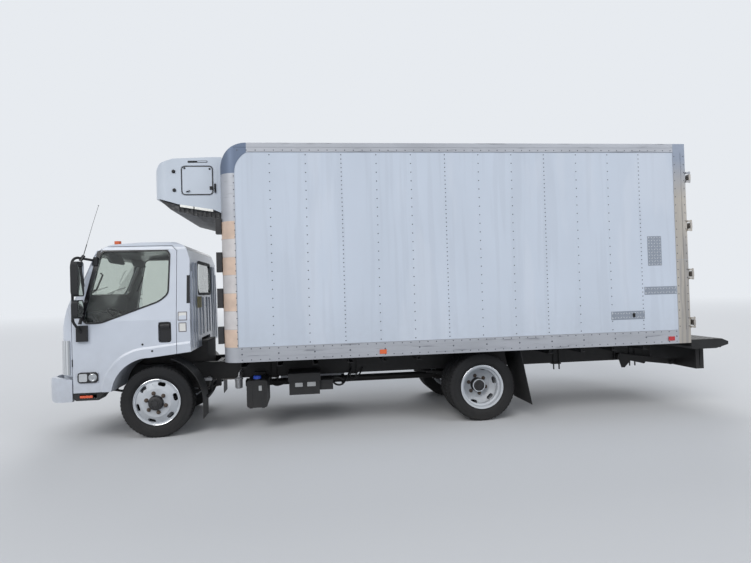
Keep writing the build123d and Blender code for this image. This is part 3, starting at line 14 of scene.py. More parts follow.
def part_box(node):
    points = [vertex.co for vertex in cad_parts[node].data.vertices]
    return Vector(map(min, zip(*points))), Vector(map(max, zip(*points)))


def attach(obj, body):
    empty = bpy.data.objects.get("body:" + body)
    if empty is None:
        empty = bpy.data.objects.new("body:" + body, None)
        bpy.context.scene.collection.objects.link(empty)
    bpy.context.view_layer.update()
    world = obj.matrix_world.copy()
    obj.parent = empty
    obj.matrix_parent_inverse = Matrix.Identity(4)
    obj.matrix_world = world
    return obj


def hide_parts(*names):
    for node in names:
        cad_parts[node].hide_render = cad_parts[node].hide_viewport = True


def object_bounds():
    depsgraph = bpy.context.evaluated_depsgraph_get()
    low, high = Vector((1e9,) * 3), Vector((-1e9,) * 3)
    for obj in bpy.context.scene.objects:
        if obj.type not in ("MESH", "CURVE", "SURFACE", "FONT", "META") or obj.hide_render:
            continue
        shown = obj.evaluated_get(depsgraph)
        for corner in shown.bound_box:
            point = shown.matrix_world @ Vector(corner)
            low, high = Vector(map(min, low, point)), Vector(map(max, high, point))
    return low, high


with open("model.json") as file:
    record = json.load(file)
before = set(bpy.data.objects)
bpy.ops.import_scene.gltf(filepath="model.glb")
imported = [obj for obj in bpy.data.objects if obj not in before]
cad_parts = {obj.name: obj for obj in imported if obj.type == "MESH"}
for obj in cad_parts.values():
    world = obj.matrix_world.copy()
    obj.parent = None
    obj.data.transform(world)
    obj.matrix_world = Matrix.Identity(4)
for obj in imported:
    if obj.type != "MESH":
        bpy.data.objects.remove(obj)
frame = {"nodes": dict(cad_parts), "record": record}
cad_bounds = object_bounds()
NODES = frame["nodes"]
SIDES = ((-1, "left"), (1, "right"))

# Places read from the frame: the front axle's own, and others measured from it
front_low, front_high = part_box("tyre_front_left")
rear_low, rear_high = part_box("tyres_rear_left")
rails_low, rails_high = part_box("box_rails")
wall_low, wall_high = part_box("box_wall_left")
door_low, door_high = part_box("cargo_door_left")
AXLE_F = (front_low.x + front_high.x) / 2
AXLE_R = (rear_low.x + rear_high.x) / 2 - AXLE_F
AXLE_Z = (front_low.z + front_high.z) / 2
TYRE_R = (front_high.z - front_low.z) / 2
BODY_FRONT = rails_low.x - AXLE_F
BODY_HALF = rails_high.y
BODY_BOTTOM = rails_low.z
BODY_TOP = rails_high.z
RAIL_TOP = wall_low.z
PANEL_TOP = wall_high.z
PANEL_OUT = -wall_low.y
PANEL_FRONT = wall_low.x - AXLE_F
REAR_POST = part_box("box_rear_frame")[0].x - AXLE_F
DOOR_FACE = door_high.x - AXLE_F
PLATFORM_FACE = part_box("lift_platform")[1].x - AXLE_F
DECK_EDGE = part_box("bed_extension")[1].x - AXLE_F
PLATE_FACE = cad_bounds[0][0] - AXLE_F

# The cab's skin
CAB_HALF = 1.025
CAB_BELT = 1.350
SIDE_LEAN = 0.1468             # how far the cab's side leans in for each metre above the belt
ROOF_R = 0.120
ROOF_BEND = 2.1535             # where the roof's rounded edge starts
ROOF_CENTRE = (0.7883, 2.136)
NOSE_R = 0.170
NOSE = -1.012
FRONT_LINE = ((0.0, NOSE), (1.108, NOSE), (1.274, -0.997), (1.549, -0.907), (1.604, -0.885), (2.146, -0.641))
BAND_OUT = CAB_HALF + 0.012    # the raised band round the wheel arch
BACK_FOOT = (0.409, 0.976)
BACK_LEAN = 11 / 1068          # how far the cab's back leans forward for each metre up

# The body and its rivets
CORNER_R = 0.170
CORNER_OUT = BODY_HALF - CORNER_R
BODY_END = 6.440
FLOOR_TOP = 0.884
RAIL_HALF = 0.418              # the inner faces of the ladder frame's rails
RIVET_R = 0.0072
RIVET_HIGH = 0.0028

# Directions: OUT is away from the truck's middle, on the side of the form that it is used in
LEFT = (0, -1, 0)
OUT = (0, 1, 0)
UP = (0, 0, 1)
AHEAD = (-1, 0, 0)
BEHIND = (1, 0, 0)


def cab_side(z):
    """Half the cab's width at a height, with the rounded edge of its roof."""
    if z > ROOF_BEND:
        return ROOF_CENTRE[0] + sqrt(max(0, ROOF_R ** 2 - (z - ROOF_CENTRE[1]) ** 2))
    return CAB_HALF - SIDE_LEAN * max(0, z - CAB_BELT)


def nose_x(y, z):
    """The cab front's place at a point seen from the front, its rounded corners included."""
    strokes = zip(FRONT_LINE, FRONT_LINE[1:])
    (low_z, low_x), (high_z, high_x) = next(stroke for stroke in strokes if z <= stroke[1][0])
    face = low_x + (high_x - low_x) * (z - low_z) / (high_z - low_z)
    beyond = abs(y) - (cab_side(z) - NOSE_R)
    if beyond > 0:
        face += NOSE_R - sqrt(max(0, NOSE_R ** 2 - beyond ** 2))
    return face


def side_skin(x, z):
    """A point of the cab's side and the way out of it."""
    return Vector((x, cab_side(z), z)), Vector((0, 1, SIDE_LEAN)).normalized()


def front_skin(y, z, step=0.004):
    slope_y = (nose_x(y + step, z) - nose_x(y - step, z)) / (2 * step)
    slope_z = (nose_x(y, z + step) - nose_x(y, z - step)) / (2 * step)
    return Vector((nose_x(y, z), y, z)), Vector((-1, slope_y, slope_z)).normalized()


def back_skin(y, z):
    return Vector((BACK_FOOT[0] - (z - BACK_FOOT[1]) * BACK_LEAN, y, z)), Vector((1, 0, 0))


# Outlines
def turns(count):
    """Even angles round a circle."""
    return [2 * pi * k / count for k in range(count)]


def spaced(low, high, pitch):
    """Even places from low to high, about a pitch apart."""
    count = max(1, round((high - low) / pitch))
    return [low + (high - low) * k / count for k in range(count + 1)]


def arc(centre, radius, start, end, steps):
    """Points of an arc in a plane, angles in degrees."""
    angles = [radians(start + (end - start) * k / steps) for k in range(steps + 1)]
    return [(centre[0] + radius * cos(a), centre[1] + radius * sin(a)) for a in angles]


def arc_through(first, middle, last, steps):
    """Points from first to last on the circle that also passes through middle."""
    (ax, ay), (bx, by), (cx, cy) = first, middle, last
    turn = 2 * (ax * (by - cy) + bx * (cy - ay) + cx * (ay - by))
    squares = [x * x + y * y for x, y in (first, middle, last)]
    centre = ((squares[0] * (by - cy) + squares[1] * (cy - ay) + squares[2] * (ay - by)) / turn,
              (squares[0] * (cx - bx) + squares[1] * (ax - cx) + squares[2] * (bx - ax)) / turn)
    ends = [degrees(atan2(y - centre[1], x - centre[0])) for x, y in (first, last)]
    return arc(centre, hypot(ax - centre[0], ay - centre[1]), ends[0], ends[1], steps)


def rounded(corners, radius, steps=6):
    """A closed outline in a plane with each corner turned into an arc."""
    outline = []
    for i, corner in enumerate(corners):
        here = Vector(corner)
        back = Vector(corners[i - 1]) - here
        ahead = Vector(corners[(i + 1) % len(corners)]) - here
        opening = acos(max(-1, min(1, back.normalized().dot(ahead.normalized()))))
        reach = min(radius / max(1e-6, abs(sin(opening / 2))), 0.45 * back.length, 0.45 * ahead.length)
        start, end = here + back.normalized() * reach, here + ahead.normalized() * reach
        for t in (k / steps for k in range(steps + 1)):
            outline.append(tuple(start * (1 - t) ** 2 + here * 2 * t * (1 - t) + end * t ** 2))
    return outline


def rect(u0, v0, u1, v1, radius=0.0, steps=6):
    """A rectangle in a plane, with rounded corners where there is a radius."""
    corners = [(u0, v0), (u1, v0), (u1, v1), (u0, v1)]
    return rounded(corners, radius, steps) if radius else corners


def widened(outline, margin):
    """A closed outline moved outwards by a margin, or inwards if it is negative."""
    area = sum(a[0] * b[1] - b[0] * a[1] for a, b in zip(outline, outline[1:] + outline[:1]))
    turn = 1 if area > 0 else -1
    moved = []
    for i, here in enumerate(outline):
        way = Vector(outline[(i + 1) % len(outline)]) - Vector(outline[i - 1])
        normal = Vector((way.y, -way.x)).normalized() * turn
        moved.append(tuple(Vector(here) + normal * margin))
    return moved


def shrunk(outline, centre, share):
    """An outline drawn in towards a centre."""
    return [tuple(c + (p - c) * share for p, c in zip(point, centre)) for point in outline]


def placed(axis, u, v, level):
    """A point from its two places in a plane across an axis and its level on the axis."""
    return {"x": (level, u, v), "y": (u, level, v), "z": (u, v, level)}[axis]


def flat(outline, axis, level):
    """A plane outline as points at one level of an axis."""
    return [placed(axis, u, v, level) for u, v in outline]


def raised(skin, outline, lift):
    """A plane outline as points on a skin, lifted off it."""
    return [point + out * lift for point, out in (skin(u, v) for u, v in outline)]


def smoothed(points, steps):
    """A hose's path through points, rounded between them."""
    spots = [Vector(p) for p in points]
    path = []
    for i, (a, b) in enumerate(zip(spots, spots[1:])):
        before = spots[max(0, i - 1)]
        after = spots[min(len(spots) - 1, i + 2)]
        for t in (k / steps for k in range(steps)):
            path.append(a * (2 * t ** 3 - 3 * t ** 2 + 1) + b * (3 * t ** 2 - 2 * t ** 3)
                        + (b - before) * 0.5 * (t ** 3 - 2 * t ** 2 + t)
                        + (after - a) * 0.5 * (t ** 3 - t ** 2))
    return path + [spots[-1]]


def quads(count, width, closed_rows=False, closed_columns=False):
    """Faces between rows of points."""
    faces = []
    for r in range(count if closed_rows else count - 1):
        for c in range(width if closed_columns else width - 1):
            after, below = (c + 1) % width, (r + 1) % count * width
            faces.append((r * width + c, r * width + after, below + after, below + c))
    return faces


class Form:
    """Gathers simple shapes into one mesh, which becomes one piece. Its Y points out on its own side."""

    def __init__(self, side=1):
        self.side = side
        self.points = []
        self.faces = []

    def at(self, point):
        """A point as a place in the frame."""
        return Vector((AXLE_F + point[0], self.side * point[1], point[2]))

    def store(self, places, faces):
        first = len(self.points)
        self.points += places
        self.faces += [[first + corner for corner in face] for face in faces]

    def add(self, points, faces):
        self.store([self.at(p) for p in points], faces)

    def grid(self, rows, closed_rows=False, closed_columns=False):
        """Quads over rows of points."""
        faces = quads(len(rows), len(rows[0]), closed_rows, closed_columns)
        self.add([p for row in rows for p in row], faces)

    def cap(self, *rows):
        """A flat face over each row of points."""
        for row in rows:
            self.add(row, [tuple(range(len(row)))])

    def between(self, low, high):
        """A solid between two closed outlines with as many points."""
        count = len(low)
        sides = [(i, (i + 1) % count, count + (i + 1) % count, count + i) for i in range(count)]
        self.add(low + high, [tuple(reversed(range(count))), tuple(range(count, 2 * count))] + sides)

    def prism(self, outline, offset):
        """A closed outline of points, pushed through by an offset."""
        self.between(outline, [tuple(a + b for a, b in zip(p, offset)) for p in outline])

    def slab(self, outline, axis, level, thickness):
        """A plane outline at a level of an axis, pushed through along it."""
        self.between(flat(outline, axis, level), flat(outline, axis, level + thickness))

    def block(self, low, high):
        self.slab(rect(low[0], low[1], high[0], high[1]), "z", low[2], high[2] - low[2])

    def loft(self, axis, rings, cap=False, closed=False):
        """Quads over plane outlines, each at its own level of an axis."""
        rows = [flat(outline, axis, level) for outline, level in rings]
        self.grid(rows, closed, True)
        if cap:
            self.cap(rows[-1])

    def band(self, skin, outline, inside, outside, thickness):
        """A raised strip on a skin, round a closed outline."""
        inner, outer = widened(outline, -inside), widened(outline, outside)
        self.grid([raised(skin, inner, 0), raised(skin, inner, thickness), raised(skin, outer, thickness),
                   raised(skin, outer, 0)], True, True)

    def tube(self, path, radius, sides=12):
        """A round bar along a path of points, with flat ends."""
        path = [self.at(p) for p in path]
        side = (path[1] - path[0]).orthogonal().normalized()
        points = []
        for i, centre in enumerate(path):
            way = (path[min(i + 1, len(path) - 1)] - path[max(i - 1, 0)]).normalized()
            side = (side - way * side.dot(way)).normalized()
            up = way.cross(side)
            points += [centre + (side * cos(a) + up * sin(a)) * radius for a in turns(sides)]
        last = len(points) - sides
        ends = [tuple(reversed(range(sides))), tuple(range(last, last + sides))]
        self.store(points, quads(len(path), sides, closed_columns=True) + ends)

    def lathe(self, profile, centre, axis="y", sides=32):
        """A profile of (place along the axis, radius) turned about an axis through a centre."""
        rows = []
        for a in turns(sides):
            offsets = [placed(axis, r * cos(a), r * sin(a), way) for way, r in profile]
            rows.append([[c + o for c, o in zip(centre, offset)] for offset in offsets])
        self.grid(rows, closed_rows=True)

    def dome(self, centre, normal, radius=RIVET_R, height=RIVET_HIGH, sides=8):
        """A rivet's head on a face."""
        centre = self.at(centre)
        normal = Vector((normal[0], self.side * normal[1], normal[2]))
        side = normal.orthogonal().normalized()
        up = normal.cross(side)
        points = [centre + normal * h + (side * cos(a) + up * sin(a)) * r
                  for r, h in ((radius, 0.0), (radius * 0.72, height * 0.75)) for a in turns(sides)]
        points.append(centre + normal * height)
        tip = [(sides + k, sides + (k + 1) % sides, 2 * sides) for k in range(sides)]
        self.store(points, quads(2, sides, closed_columns=True) + tip)

    def piece(self, name, material, slot, body="truck", bevel=0.0, smooth=40, subdivide=0, weld=False):
        """The gathered mesh as one piece that rides on a body."""
        mesh = bpy.data.meshes.new(name)
        mesh.from_pydata([tuple(p) for p in self.points], [], self.faces)
        mesh.validate()
        shape = bmesh.new()
        shape.from_mesh(mesh)
        if weld:
            bmesh.ops.remove_doubles(shape, verts=shape.verts, dist=1e-5)
        bmesh.ops.recalc_face_normals(shape, faces=shape.faces)
        shape.to_mesh(mesh)
        shape.free()
        piece = bpy.data.objects.new(name, mesh)
        bpy.context.scene.collection.objects.link(piece)
        mesh.materials.append(material)
        if bevel:
            edge = piece.modifiers.new("edges", "BEVEL")
            edge.width = bevel
            edge.segments = 2
            edge.limit_method = "ANGLE"
            edge.angle_limit = radians(35)
        if subdivide:
            smoother = piece.modifiers.new("surface", "SUBSURF")
            smoother.levels = subdivide
            smoother.render_levels = subdivide
        mesh.shade_smooth()
        mesh.set_sharp_from_angle(angle=radians(smooth))
        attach(piece, body)
        return piece


# Materials
def feed(tree, target, inputs):
    """Sets a node's inputs, each to a value or to another node's output."""
    for name, value in inputs.items():
        if isinstance(value, bpy.types.NodeSocket):
            tree.links.new(value, target.inputs[name])
        else:
            target.inputs[name].default_value = value


def node(tree, kind, inputs, **settings):
    """The outputs of a new shader node."""
    made = tree.nodes.new("ShaderNode" + kind)
    for name, value in settings.items():
        setattr(made, name, value)
    feed(tree, made, inputs)
    return made.outputs


def object_place(tree):
    return node(tree, "TexCoord", {})["Object"]


def times(tree, a, b):
    return node(tree, "Math", {0: a, 1: b}, operation="MULTIPLY")["Value"]


def cloud(tree, place, scale, detail):
    return node(tree, "TexNoise", {"Vector": place, "Scale": scale, "Detail": detail})["Fac"]


def remap(tree, value, low=0.0, high=1.0, to_low=0.0, to_high=1.0, **settings):
    return node(tree, "MapRange", {"Value": value, "From Min": low, "From Max": high, "To Min": to_low,
                                   "To Max": to_high}, **settings)["Result"]


def ramp(tree, share, dark, light, low=0.0, high=1.0):
    """A colour between dark and light by a share."""
    result = node(tree, "ValToRGB", {"Fac": share})["Color"]
    stops = result.node.color_ramp.elements
    stops[0].position, stops[1].position = low, high
    stops[0].color, stops[1].color = (*dark, 1), (*light, 1)
    return result


def relief(tree, height, strength, distance):
    return node(tree, "Bump", {"Strength": strength, "Distance": distance, "Height": height})["Normal"]


def mixed(tree, base, colour, share):
    """A colour laid over a base by a share."""
    return node(tree, "Mix", {"A": base, "B": (*colour, 1), "Factor": share}, data_type="RGBA")["Result"]


def graph(name):
    material = bpy.data.materials.new(name)
    material.use_nodes = True
    return material, material.node_tree, material.node_tree.nodes["Principled BSDF"]


def finish(name, colour, rough, metal=0.0, spread=0.08, scale=6.0, bump=0.0, bump_scale=60.0, coat=0.0,
           grime=None, stretch=(1, 1, 1), gloss=0.5):
    """A surface with uneven colour and roughness, a fine relief and, low down, road grime."""
    material, tree, shader = graph(name)
    place = object_place(tree)
    stretched = node(tree, "Mapping", {"Vector": place, "Scale": stretch})["Vector"]
    patches = cloud(tree, stretched, scale, 8)
    light = [min(1, c * (1 + spread * 0.6)) for c in colour]
    paint = ramp(tree, patches, [c * (1 - spread) for c in colour], light, 0.3, 0.7)
    if grime:
        tint, low, high, strength = grime
        height = node(tree, "SeparateXYZ", {"Vector": place})["Z"]
        share = times(tree, remap(tree, height, low, high, strength, 0), cloud(tree, place, 14, 10))
        paint = mixed(tree, paint, tint, share)
    roughness = remap(tree, patches, to_low=max(0.02, rough * 0.8), to_high=min(1, rough * 1.25))
    feed(tree, shader, {"Base Color": paint, "Roughness": roughness, "Metallic": metal, "Coat Weight": coat,
                        "Specular IOR Level": gloss})
    if bump:
        grain = cloud(tree, stretched, bump_scale, 4)
        feed(tree, shader, {"Normal": relief(tree, grain, bump, 0.002)})
    return material


def overlay(material, colour, share):
    """Lays a colour over a finish where a socket says."""
    tree = material.node_tree
    base = tree.nodes["Principled BSDF"].inputs["Base Color"]
    tree.links.new(mixed(tree, base.links[0].from_socket, colour, share), base)
    return material


def zone(material, colour, walls, blur=0.002):
    """Lays a colour inside flat walls, each (a, b, c, d), where a x + b |y| + c z is over d."""
    tree = material.node_tree
    split = node(tree, "SeparateXYZ", {"Vector": object_place(tree)})
    across = node(tree, "Math", {0: split["Y"]}, operation="ABSOLUTE")["Value"]
    spot = node(tree, "CombineXYZ", {"X": split["X"], "Y": across, "Z": split["Z"]})["Vector"]
    inside = None
    for a, b, c, d in walls:
        reach = node(tree, "VectorMath", {0: spot, 1: (a, b, c)}, operation="DOT_PRODUCT")["Value"]
        within = remap(tree, reach, d - blur / 2, d + blur / 2)
        inside = within if inside is None else times(tree, inside, within)
    return overlay(material, colour, inside)


def streaked(material, colour, stretch, threshold, strength):
    """Lays long marks over a finish, drawn out along the small scales of stretch."""
    tree = material.node_tree
    stretched = node(tree, "Mapping", {"Vector": object_place(tree), "Scale": stretch})["Vector"]
    marks = cloud(tree, stretched, 1, 3)
    return overlay(material, colour, remap(tree, marks, threshold, threshold + 0.08, to_high=strength))


ROAD = (0.16, 0.14, 0.12)
DUST = (0.06, 0.055, 0.05)
AMBER = (0.62, 0.11, 0.025)
RED = (0.42, 0.012, 0.018)


# The cab's paint is white; its darker, bluer colour here is painted shade.
def shaded_cab_paint(name):
    return finish(name, (0.50, 0.54, 0.61), 0.3, coat=0.4, spread=0.03, grime=(ROAD, 0.45, 1.2, 0.4))


def rail_metal(name):
    metal = finish(name, (0.40, 0.415, 0.45), 0.45, metal=0.6, spread=0.1, scale=5, bump=0.08, bump_scale=30,
                   stretch=(0.3, 1, 1))
    # The dark horizontal streaks are painted reflections of the ground in the rails.
    return streaked(metal, (0.15, 0.16, 0.18), (2.4, 2.4, 30), 0.60, 0.6)


def lamp_plastic(name, colour, rough=0.15, spread=0.08, coat=0.6):
    return finish(name, colour, rough, spread=spread, coat=coat)


WHITE_PAINT_SHADED = shaded_cab_paint("shaded_cab_paint")
# Inside the cab's own shell and doors, its panels are grey
CAB_ROOM = ((0, -1, -SIDE_LEAN, -1.193), (0, -1, 0, -0.995), (0, 0, 1, 1.04), (0, 0, -1, -2.226),
            (-1, 0, -0.0103, -AXLE_F - 0.387), (1, 0, 0, AXLE_F - 0.900), (1, 0, -0.45, AXLE_F - 1.582))
CAB_PANELS = zone(shaded_cab_paint("cab_panels"), (0.17, 0.18, 0.19), CAB_ROOM)
# The body's panels are white; their darker, bluer ground colour here is painted shade.
BODY_PAINT_SHADED = finish("body_panels_shaded", (0.50, 0.555, 0.64), 0.42, spread=0.05, scale=1.6, bump=0.05, bump_scale=3,
                    stretch=(1, 1, 0.35), grime=(ROAD, 0.9, 1.5, 0.2))
streaked(BODY_PAINT_SHADED, (0.40, 0.44, 0.51), (11, 11, 0.5), 0.52, 0.22)
streaked(BODY_PAINT_SHADED, (0.56, 0.60, 0.67), (3, 3, 0.6), 0.55, 0.3)
RAIL_METAL = rail_metal("rail_aluminium")
# At each upper front corner the body's rails are drawn darker: painted shade on the rail metal
RAIL_CAP_SHADE = ((0, 0, 1, 2.975), (-1, 0, 0, -AXLE_F - 1.100))
BODY_RAILS = zone(rail_metal("body_rails"), (0.13, 0.165, 0.235), RAIL_CAP_SHADE)
STAINLESS = finish("stainless_sheet", (0.46, 0.43, 0.40), 0.32, metal=0.85, spread=0.16, scale=4,
                   stretch=(1, 1, 0.2))
REAR_FRAME = finish("rear_frame_sheet", (0.44, 0.41, 0.37), 0.34, metal=0.8, spread=0.14, scale=4,
                    stretch=(1, 1, 0.2))
streaked(REAR_FRAME, (0.25, 0.25, 0.26), (20, 20, 1.2), 0.52, 0.5)
zone(REAR_FRAME, (0.24, 0.27, 0.33), ((0, 0, 1, 2.88),), 0.5)
FRAME_BLACK = finish("frame_paint", (0.013, 0.0135, 0.015), 0.5, spread=0.3, bump=0.15, bump_scale=40,
                     grime=((0.05, 0.043, 0.036), 0.2, 1.0, 0.5), gloss=0.3)
IRON = finish("cast_iron", (0.07, 0.068, 0.066), 0.7, metal=0.4, spread=0.3, bump=0.4, bump_scale=30)
PLASTIC = finish("grained_plastic", (0.016, 0.017, 0.019), 0.55, spread=0.12, bump=0.3, bump_scale=400,
                 grime=(DUST, 0.3, 0.9, 0.4), gloss=0.3)
SHROUD = finish("shroud_plastic", (0.022, 0.023, 0.026), 0.5, spread=0.2, bump=0.5, bump_scale=90)
streaked(SHROUD, (0.10, 0.10, 0.10), (34, 34, 34), 0.54, 0.7)
GLOSS_BLACK = finish("gloss_black", (0.010, 0.010, 0.012), 0.2, spread=0.1)
RUBBER = finish("tyre_rubber", (0.016, 0.0165, 0.018), 0.78, spread=0.25, scale=9, bump=0.2, bump_scale=120,
                grime=((0.055, 0.05, 0.045), 0.0, 0.6, 0.4), gloss=0.25)
SEAL = finish("seal_rubber", (0.012, 0.012, 0.013), 0.6, spread=0.15, bump=0.15, bump_scale=150)
# The wheels are painted white; their darker, bluer colour here is painted shade.
WHEEL_WHITE_SHADED = finish("wheel_paint_shaded", (0.47, 0.50, 0.54), 0.42, spread=0.08, scale=10,
                     grime=((0.16, 0.145, 0.13), 0.1, 0.75, 0.4))
# The rivet heads are aluminium; their dark colour is painted shade, so that they show as dark dots.
RIVET_SHADE = finish("rivet_heads_painted_shade", (0.09, 0.10, 0.12), 0.5, metal=0.3, spread=0.2, scale=30)
DECK_PLATE = finish("deck_steel", (0.07, 0.068, 0.066), 0.5, metal=0.6, spread=0.3, scale=6,
                    grime=(ROAD, 0.5, 1.0, 0.3))
GREY_LABEL = finish("blank_grey_label", (0.34, 0.35, 0.36), 0.5, spread=0.08)
HEADLINER = finish("headliner", (0.30, 0.31, 0.32), 0.85, spread=0.05, bump=0.2, bump_scale=300)
PIPING = finish("seat_piping", (0.06, 0.06, 0.065), 0.7, spread=0.15, scale=40)
RUSTY = finish("rusty_nuts", (0.11, 0.085, 0.07), 0.7, metal=0.5, spread=0.35, scale=60, bump=0.4,
               bump_scale=120)
HUB_DARK = finish("hub_dark", (0.028, 0.028, 0.030), 0.5, metal=0.3, spread=0.3, scale=20)
# The cooling unit's shell is white; its darker, bluer colour here is painted shade.
UNIT_WHITE_SHADED = finish("unit_shell_shaded", (0.50, 0.55, 0.62), 0.35, spread=0.04, scale=3, bump=0.1, bump_scale=200,
                    coat=0.2)
BRIGHT_EDGE = finish("bright_edge", (0.86, 0.86, 0.82), 0.4, spread=0.12, scale=40)
MIRROR_GLASS = finish("mirror_silver", (0.8, 0.82, 0.84), 0.03, metal=1.0, spread=0.02)
LABEL = finish("blank_label", (0.62, 0.62, 0.60), 0.45, spread=0.04)
LABEL_EDGE = finish("label_edge", (0.16, 0.15, 0.17), 0.5, spread=0.08)
LABEL_YELLOW = finish("blank_yellow_label", (0.34, 0.28, 0.09), 0.5, spread=0.10, scale=30)
# The corner plates are aluminium; the warm tint of both plate colours is partly their own and partly painted
# sunlight reflected off them.
TAN_PLATE_SUNLIT = finish("tan_plate_sunlit", (0.60, 0.46, 0.37), 0.5, metal=0.2, spread=0.14, scale=8, bump=0.1, bump_scale=30)
PALE_PLATE_SUNLIT = finish("pale_plate_sunlit", (0.55, 0.53, 0.53), 0.45, metal=0.3, spread=0.12, scale=8)
GREY_PLATE = finish("grey_plate", (0.34, 0.35, 0.37), 0.4, metal=0.5, spread=0.12, scale=8)
TREADPLATE = finish("tread_plate", (0.44, 0.45, 0.47), 0.35, metal=0.85, spread=0.1, scale=20)
# The patches' ground between the diamonds has gone dull
PATCH_PLATE = zone(finish("patch_plate", (0.48, 0.51, 0.55), 0.35, metal=0.4, spread=0.1, scale=20),
                   (0.25, 0.28, 0.33), ((0, -1, 0, -PANEL_OUT - 0.0026),), 0.0012)
CHROME = finish("chrome", (0.62, 0.64, 0.67), 0.16, metal=1.0, spread=0.04)
BLUE_CAP = finish("blue_cap", (0.015, 0.06, 0.42), 0.4, spread=0.06)
RED_LENS = lamp_plastic("red_lens", RED)
AMBER_LENS = lamp_plastic("amber_lens", AMBER)
# The lamps in the rear half of the truck are red
MARKER_LENS = zone(lamp_plastic("marker_lens", AMBER), RED, ((1, 0, 0, 2.0),))
ORANGE_LENS = lamp_plastic("orange_lens", (0.62, 0.09, 0.03), 0.2, 0.06, 0.5)
INTERIOR = finish("interior_trim", (0.055, 0.058, 0.065), 0.6, spread=0.1, bump=0.2, bump_scale=300)


def glass():
    """Tinted glass; a little dirt keeps its roughness uneven."""
    material, tree, shader = graph("window_tint")
    dirt = cloud(tree, object_place(tree), 7, 6)
    feed(tree, shader, {"Base Color": (0.74, 0.78, 0.74, 1), "Transmission Weight": 1, "IOR": 1.45,
                        "Roughness": remap(tree, dirt, to_high=0.06)})
    return material


def lamp_lens():
    """A clear lamp lens with fine upright flutes over a bright reflector."""
    material, tree, shader = graph("lamp_lens")
    flutes = node(tree, "TexWave", {"Vector": object_place(tree), "Scale": 18, "Distortion": 0.4},
                  bands_direction="Y")["Fac"]
    feed(tree, shader, {"Base Color": ramp(tree, flutes, (0.34, 0.36, 0.38), (0.72, 0.74, 0.76)),
                        "Normal": relief(tree, flutes, 0.4, 0.002), "Metallic": 0.6, "Roughness": 0.12,
                        "Coat Weight": 1})
    return material


def fabric(name, colour, scale):
    """Woven cloth: two crossed sets of threads."""
    material, tree, shader = graph(name)
    place = object_place(tree)
    threads = [node(tree, "TexWave", {"Vector": place, "Scale": scale, "Distortion": 0.6},
                    bands_direction=direction)["Fac"] for direction in ("Y", "DIAGONAL")]
    weave = times(tree, *threads)
    cloth = ramp(tree, weave, [c * 0.6 for c in colour], [min(1, c * 1.3) for c in colour])
    feed(tree, shader, {"Base Color": cloth, "Normal": relief(tree, weave, 0.5, 0.001), "Roughness": 0.9,
                        "Sheen Weight": 0.3})
    return material


GLASS = glass()
LENS = lamp_lens()
CLOTH = fabric("seat_cloth", (0.16, 0.165, 0.18), 160)

SLOT_FINISH = {
    "frame_black": FRAME_BLACK, "engine_iron": IRON, "cab_white": WHITE_PAINT_SHADED, "window_glass": GLASS,
    "black_plastic": PLASTIC, "lamp_clear": LENS, "lamp_amber": AMBER_LENS, "seat_fabric": CLOTH,
    "wheel_rubber": RUBBER, "wheel_white": WHEEL_WHITE_SHADED, "wheel_black": PLASTIC, "body_white": BODY_PAINT_SHADED,
    "body_aluminium": RAIL_METAL, "stainless": STAINLESS, "unit_white": UNIT_WHITE_SHADED,
}
OWN_FINISH = {
    "dashboard": INTERIOR, "climbing_steps": HUB_DARK, "box_rails": BODY_RAILS, "box_rear_frame": REAR_FRAME,
    "marker_lamps": MARKER_LENS, "unit_shroud": SHROUD, "cab_shell": CAB_PANELS, "cab_door_left": CAB_PANELS,
    "cab_door_right": CAB_PANELS,
}
for part in frame["record"]["subparts"]:
    material = OWN_FINISH.get(part["node"], SLOT_FINISH[part["material_slot"]])
    NODES[part["node"]].data.materials.clear()
    NODES[part["node"]].data.materials.append(material)

# Tyres: ribs with cross cuts at the shoulders, and a beaded sidewall
TYRE_HALF = 0.113
TREAD_HALF = 0.095
BEAD_HALF = 0.078
LIP_R = 0.266
SHOULDER_R = TYRE_R - 0.014
GROOVES = (-0.055, -0.019, 0.019, 0.055)
BLOCKS = 56
STEPS_PER_BLOCK = 6
SIDEWALL = ((0.010, 0.288), (0.003, 0.304), (0.003, 0.307), (0, 0.309), (-0.001, 0.330), (0, 0.344),
            (0.003, 0.346), (0.004, 0.360), (0.008, 0.378))


def tyre(form, axle, centre_y):
    """One tyre over its CAD ring, bead to bead."""
    wall = [(-BEAD_HALF, 0.249), (-BEAD_HALF, LIP_R), (-BEAD_HALF - 0.010, LIP_R + 0.005),
            (-BEAD_HALF - 0.012, LIP_R + 0.010)] + [(y - TYRE_HALF, r) for y, r in SIDEWALL]
    wall += [(-TREAD_HALF - 0.008, SHOULDER_R - 0.004), (-TREAD_HALF - 0.004, SHOULDER_R + 0.004),
             (-TREAD_HALF, TYRE_R - 0.004), (-TREAD_HALF + 0.006, TYRE_R - 0.001)]
    ribs = [(groove + y, TYRE_R - deep) for groove in GROOVES
            for y, deep in ((-0.006, 0), (-0.004, 0.011), (0.004, 0.011), (0.006, 0))]
    profile = wall + ribs + [(-y, r) for y, r in reversed(wall)]
    rows = []
    for k, angle in enumerate(turns(STEPS_PER_BLOCK * BLOCKS)):
        row = []
        for y, r in profile:
            wave = 0.003 * sin(2 * pi * k / STEPS_PER_BLOCK) if abs(y) < 0.062 and r > TYRE_R - 0.012 else 0
            cut = k % STEPS_PER_BLOCK == 0 and abs(y) > 0.060 and r > SHOULDER_R
            sipe = k % STEPS_PER_BLOCK == 3 and 0.024 < abs(y) < 0.050 and r > TYRE_R - 0.002
            r -= 0.009 if cut else 0.005 if sipe else 0
            row.append((axle + r * cos(angle), centre_y + y + wave, AXLE_Z + r * sin(angle)))
        rows.append(row)
    form.grid(rows, closed_rows=True)


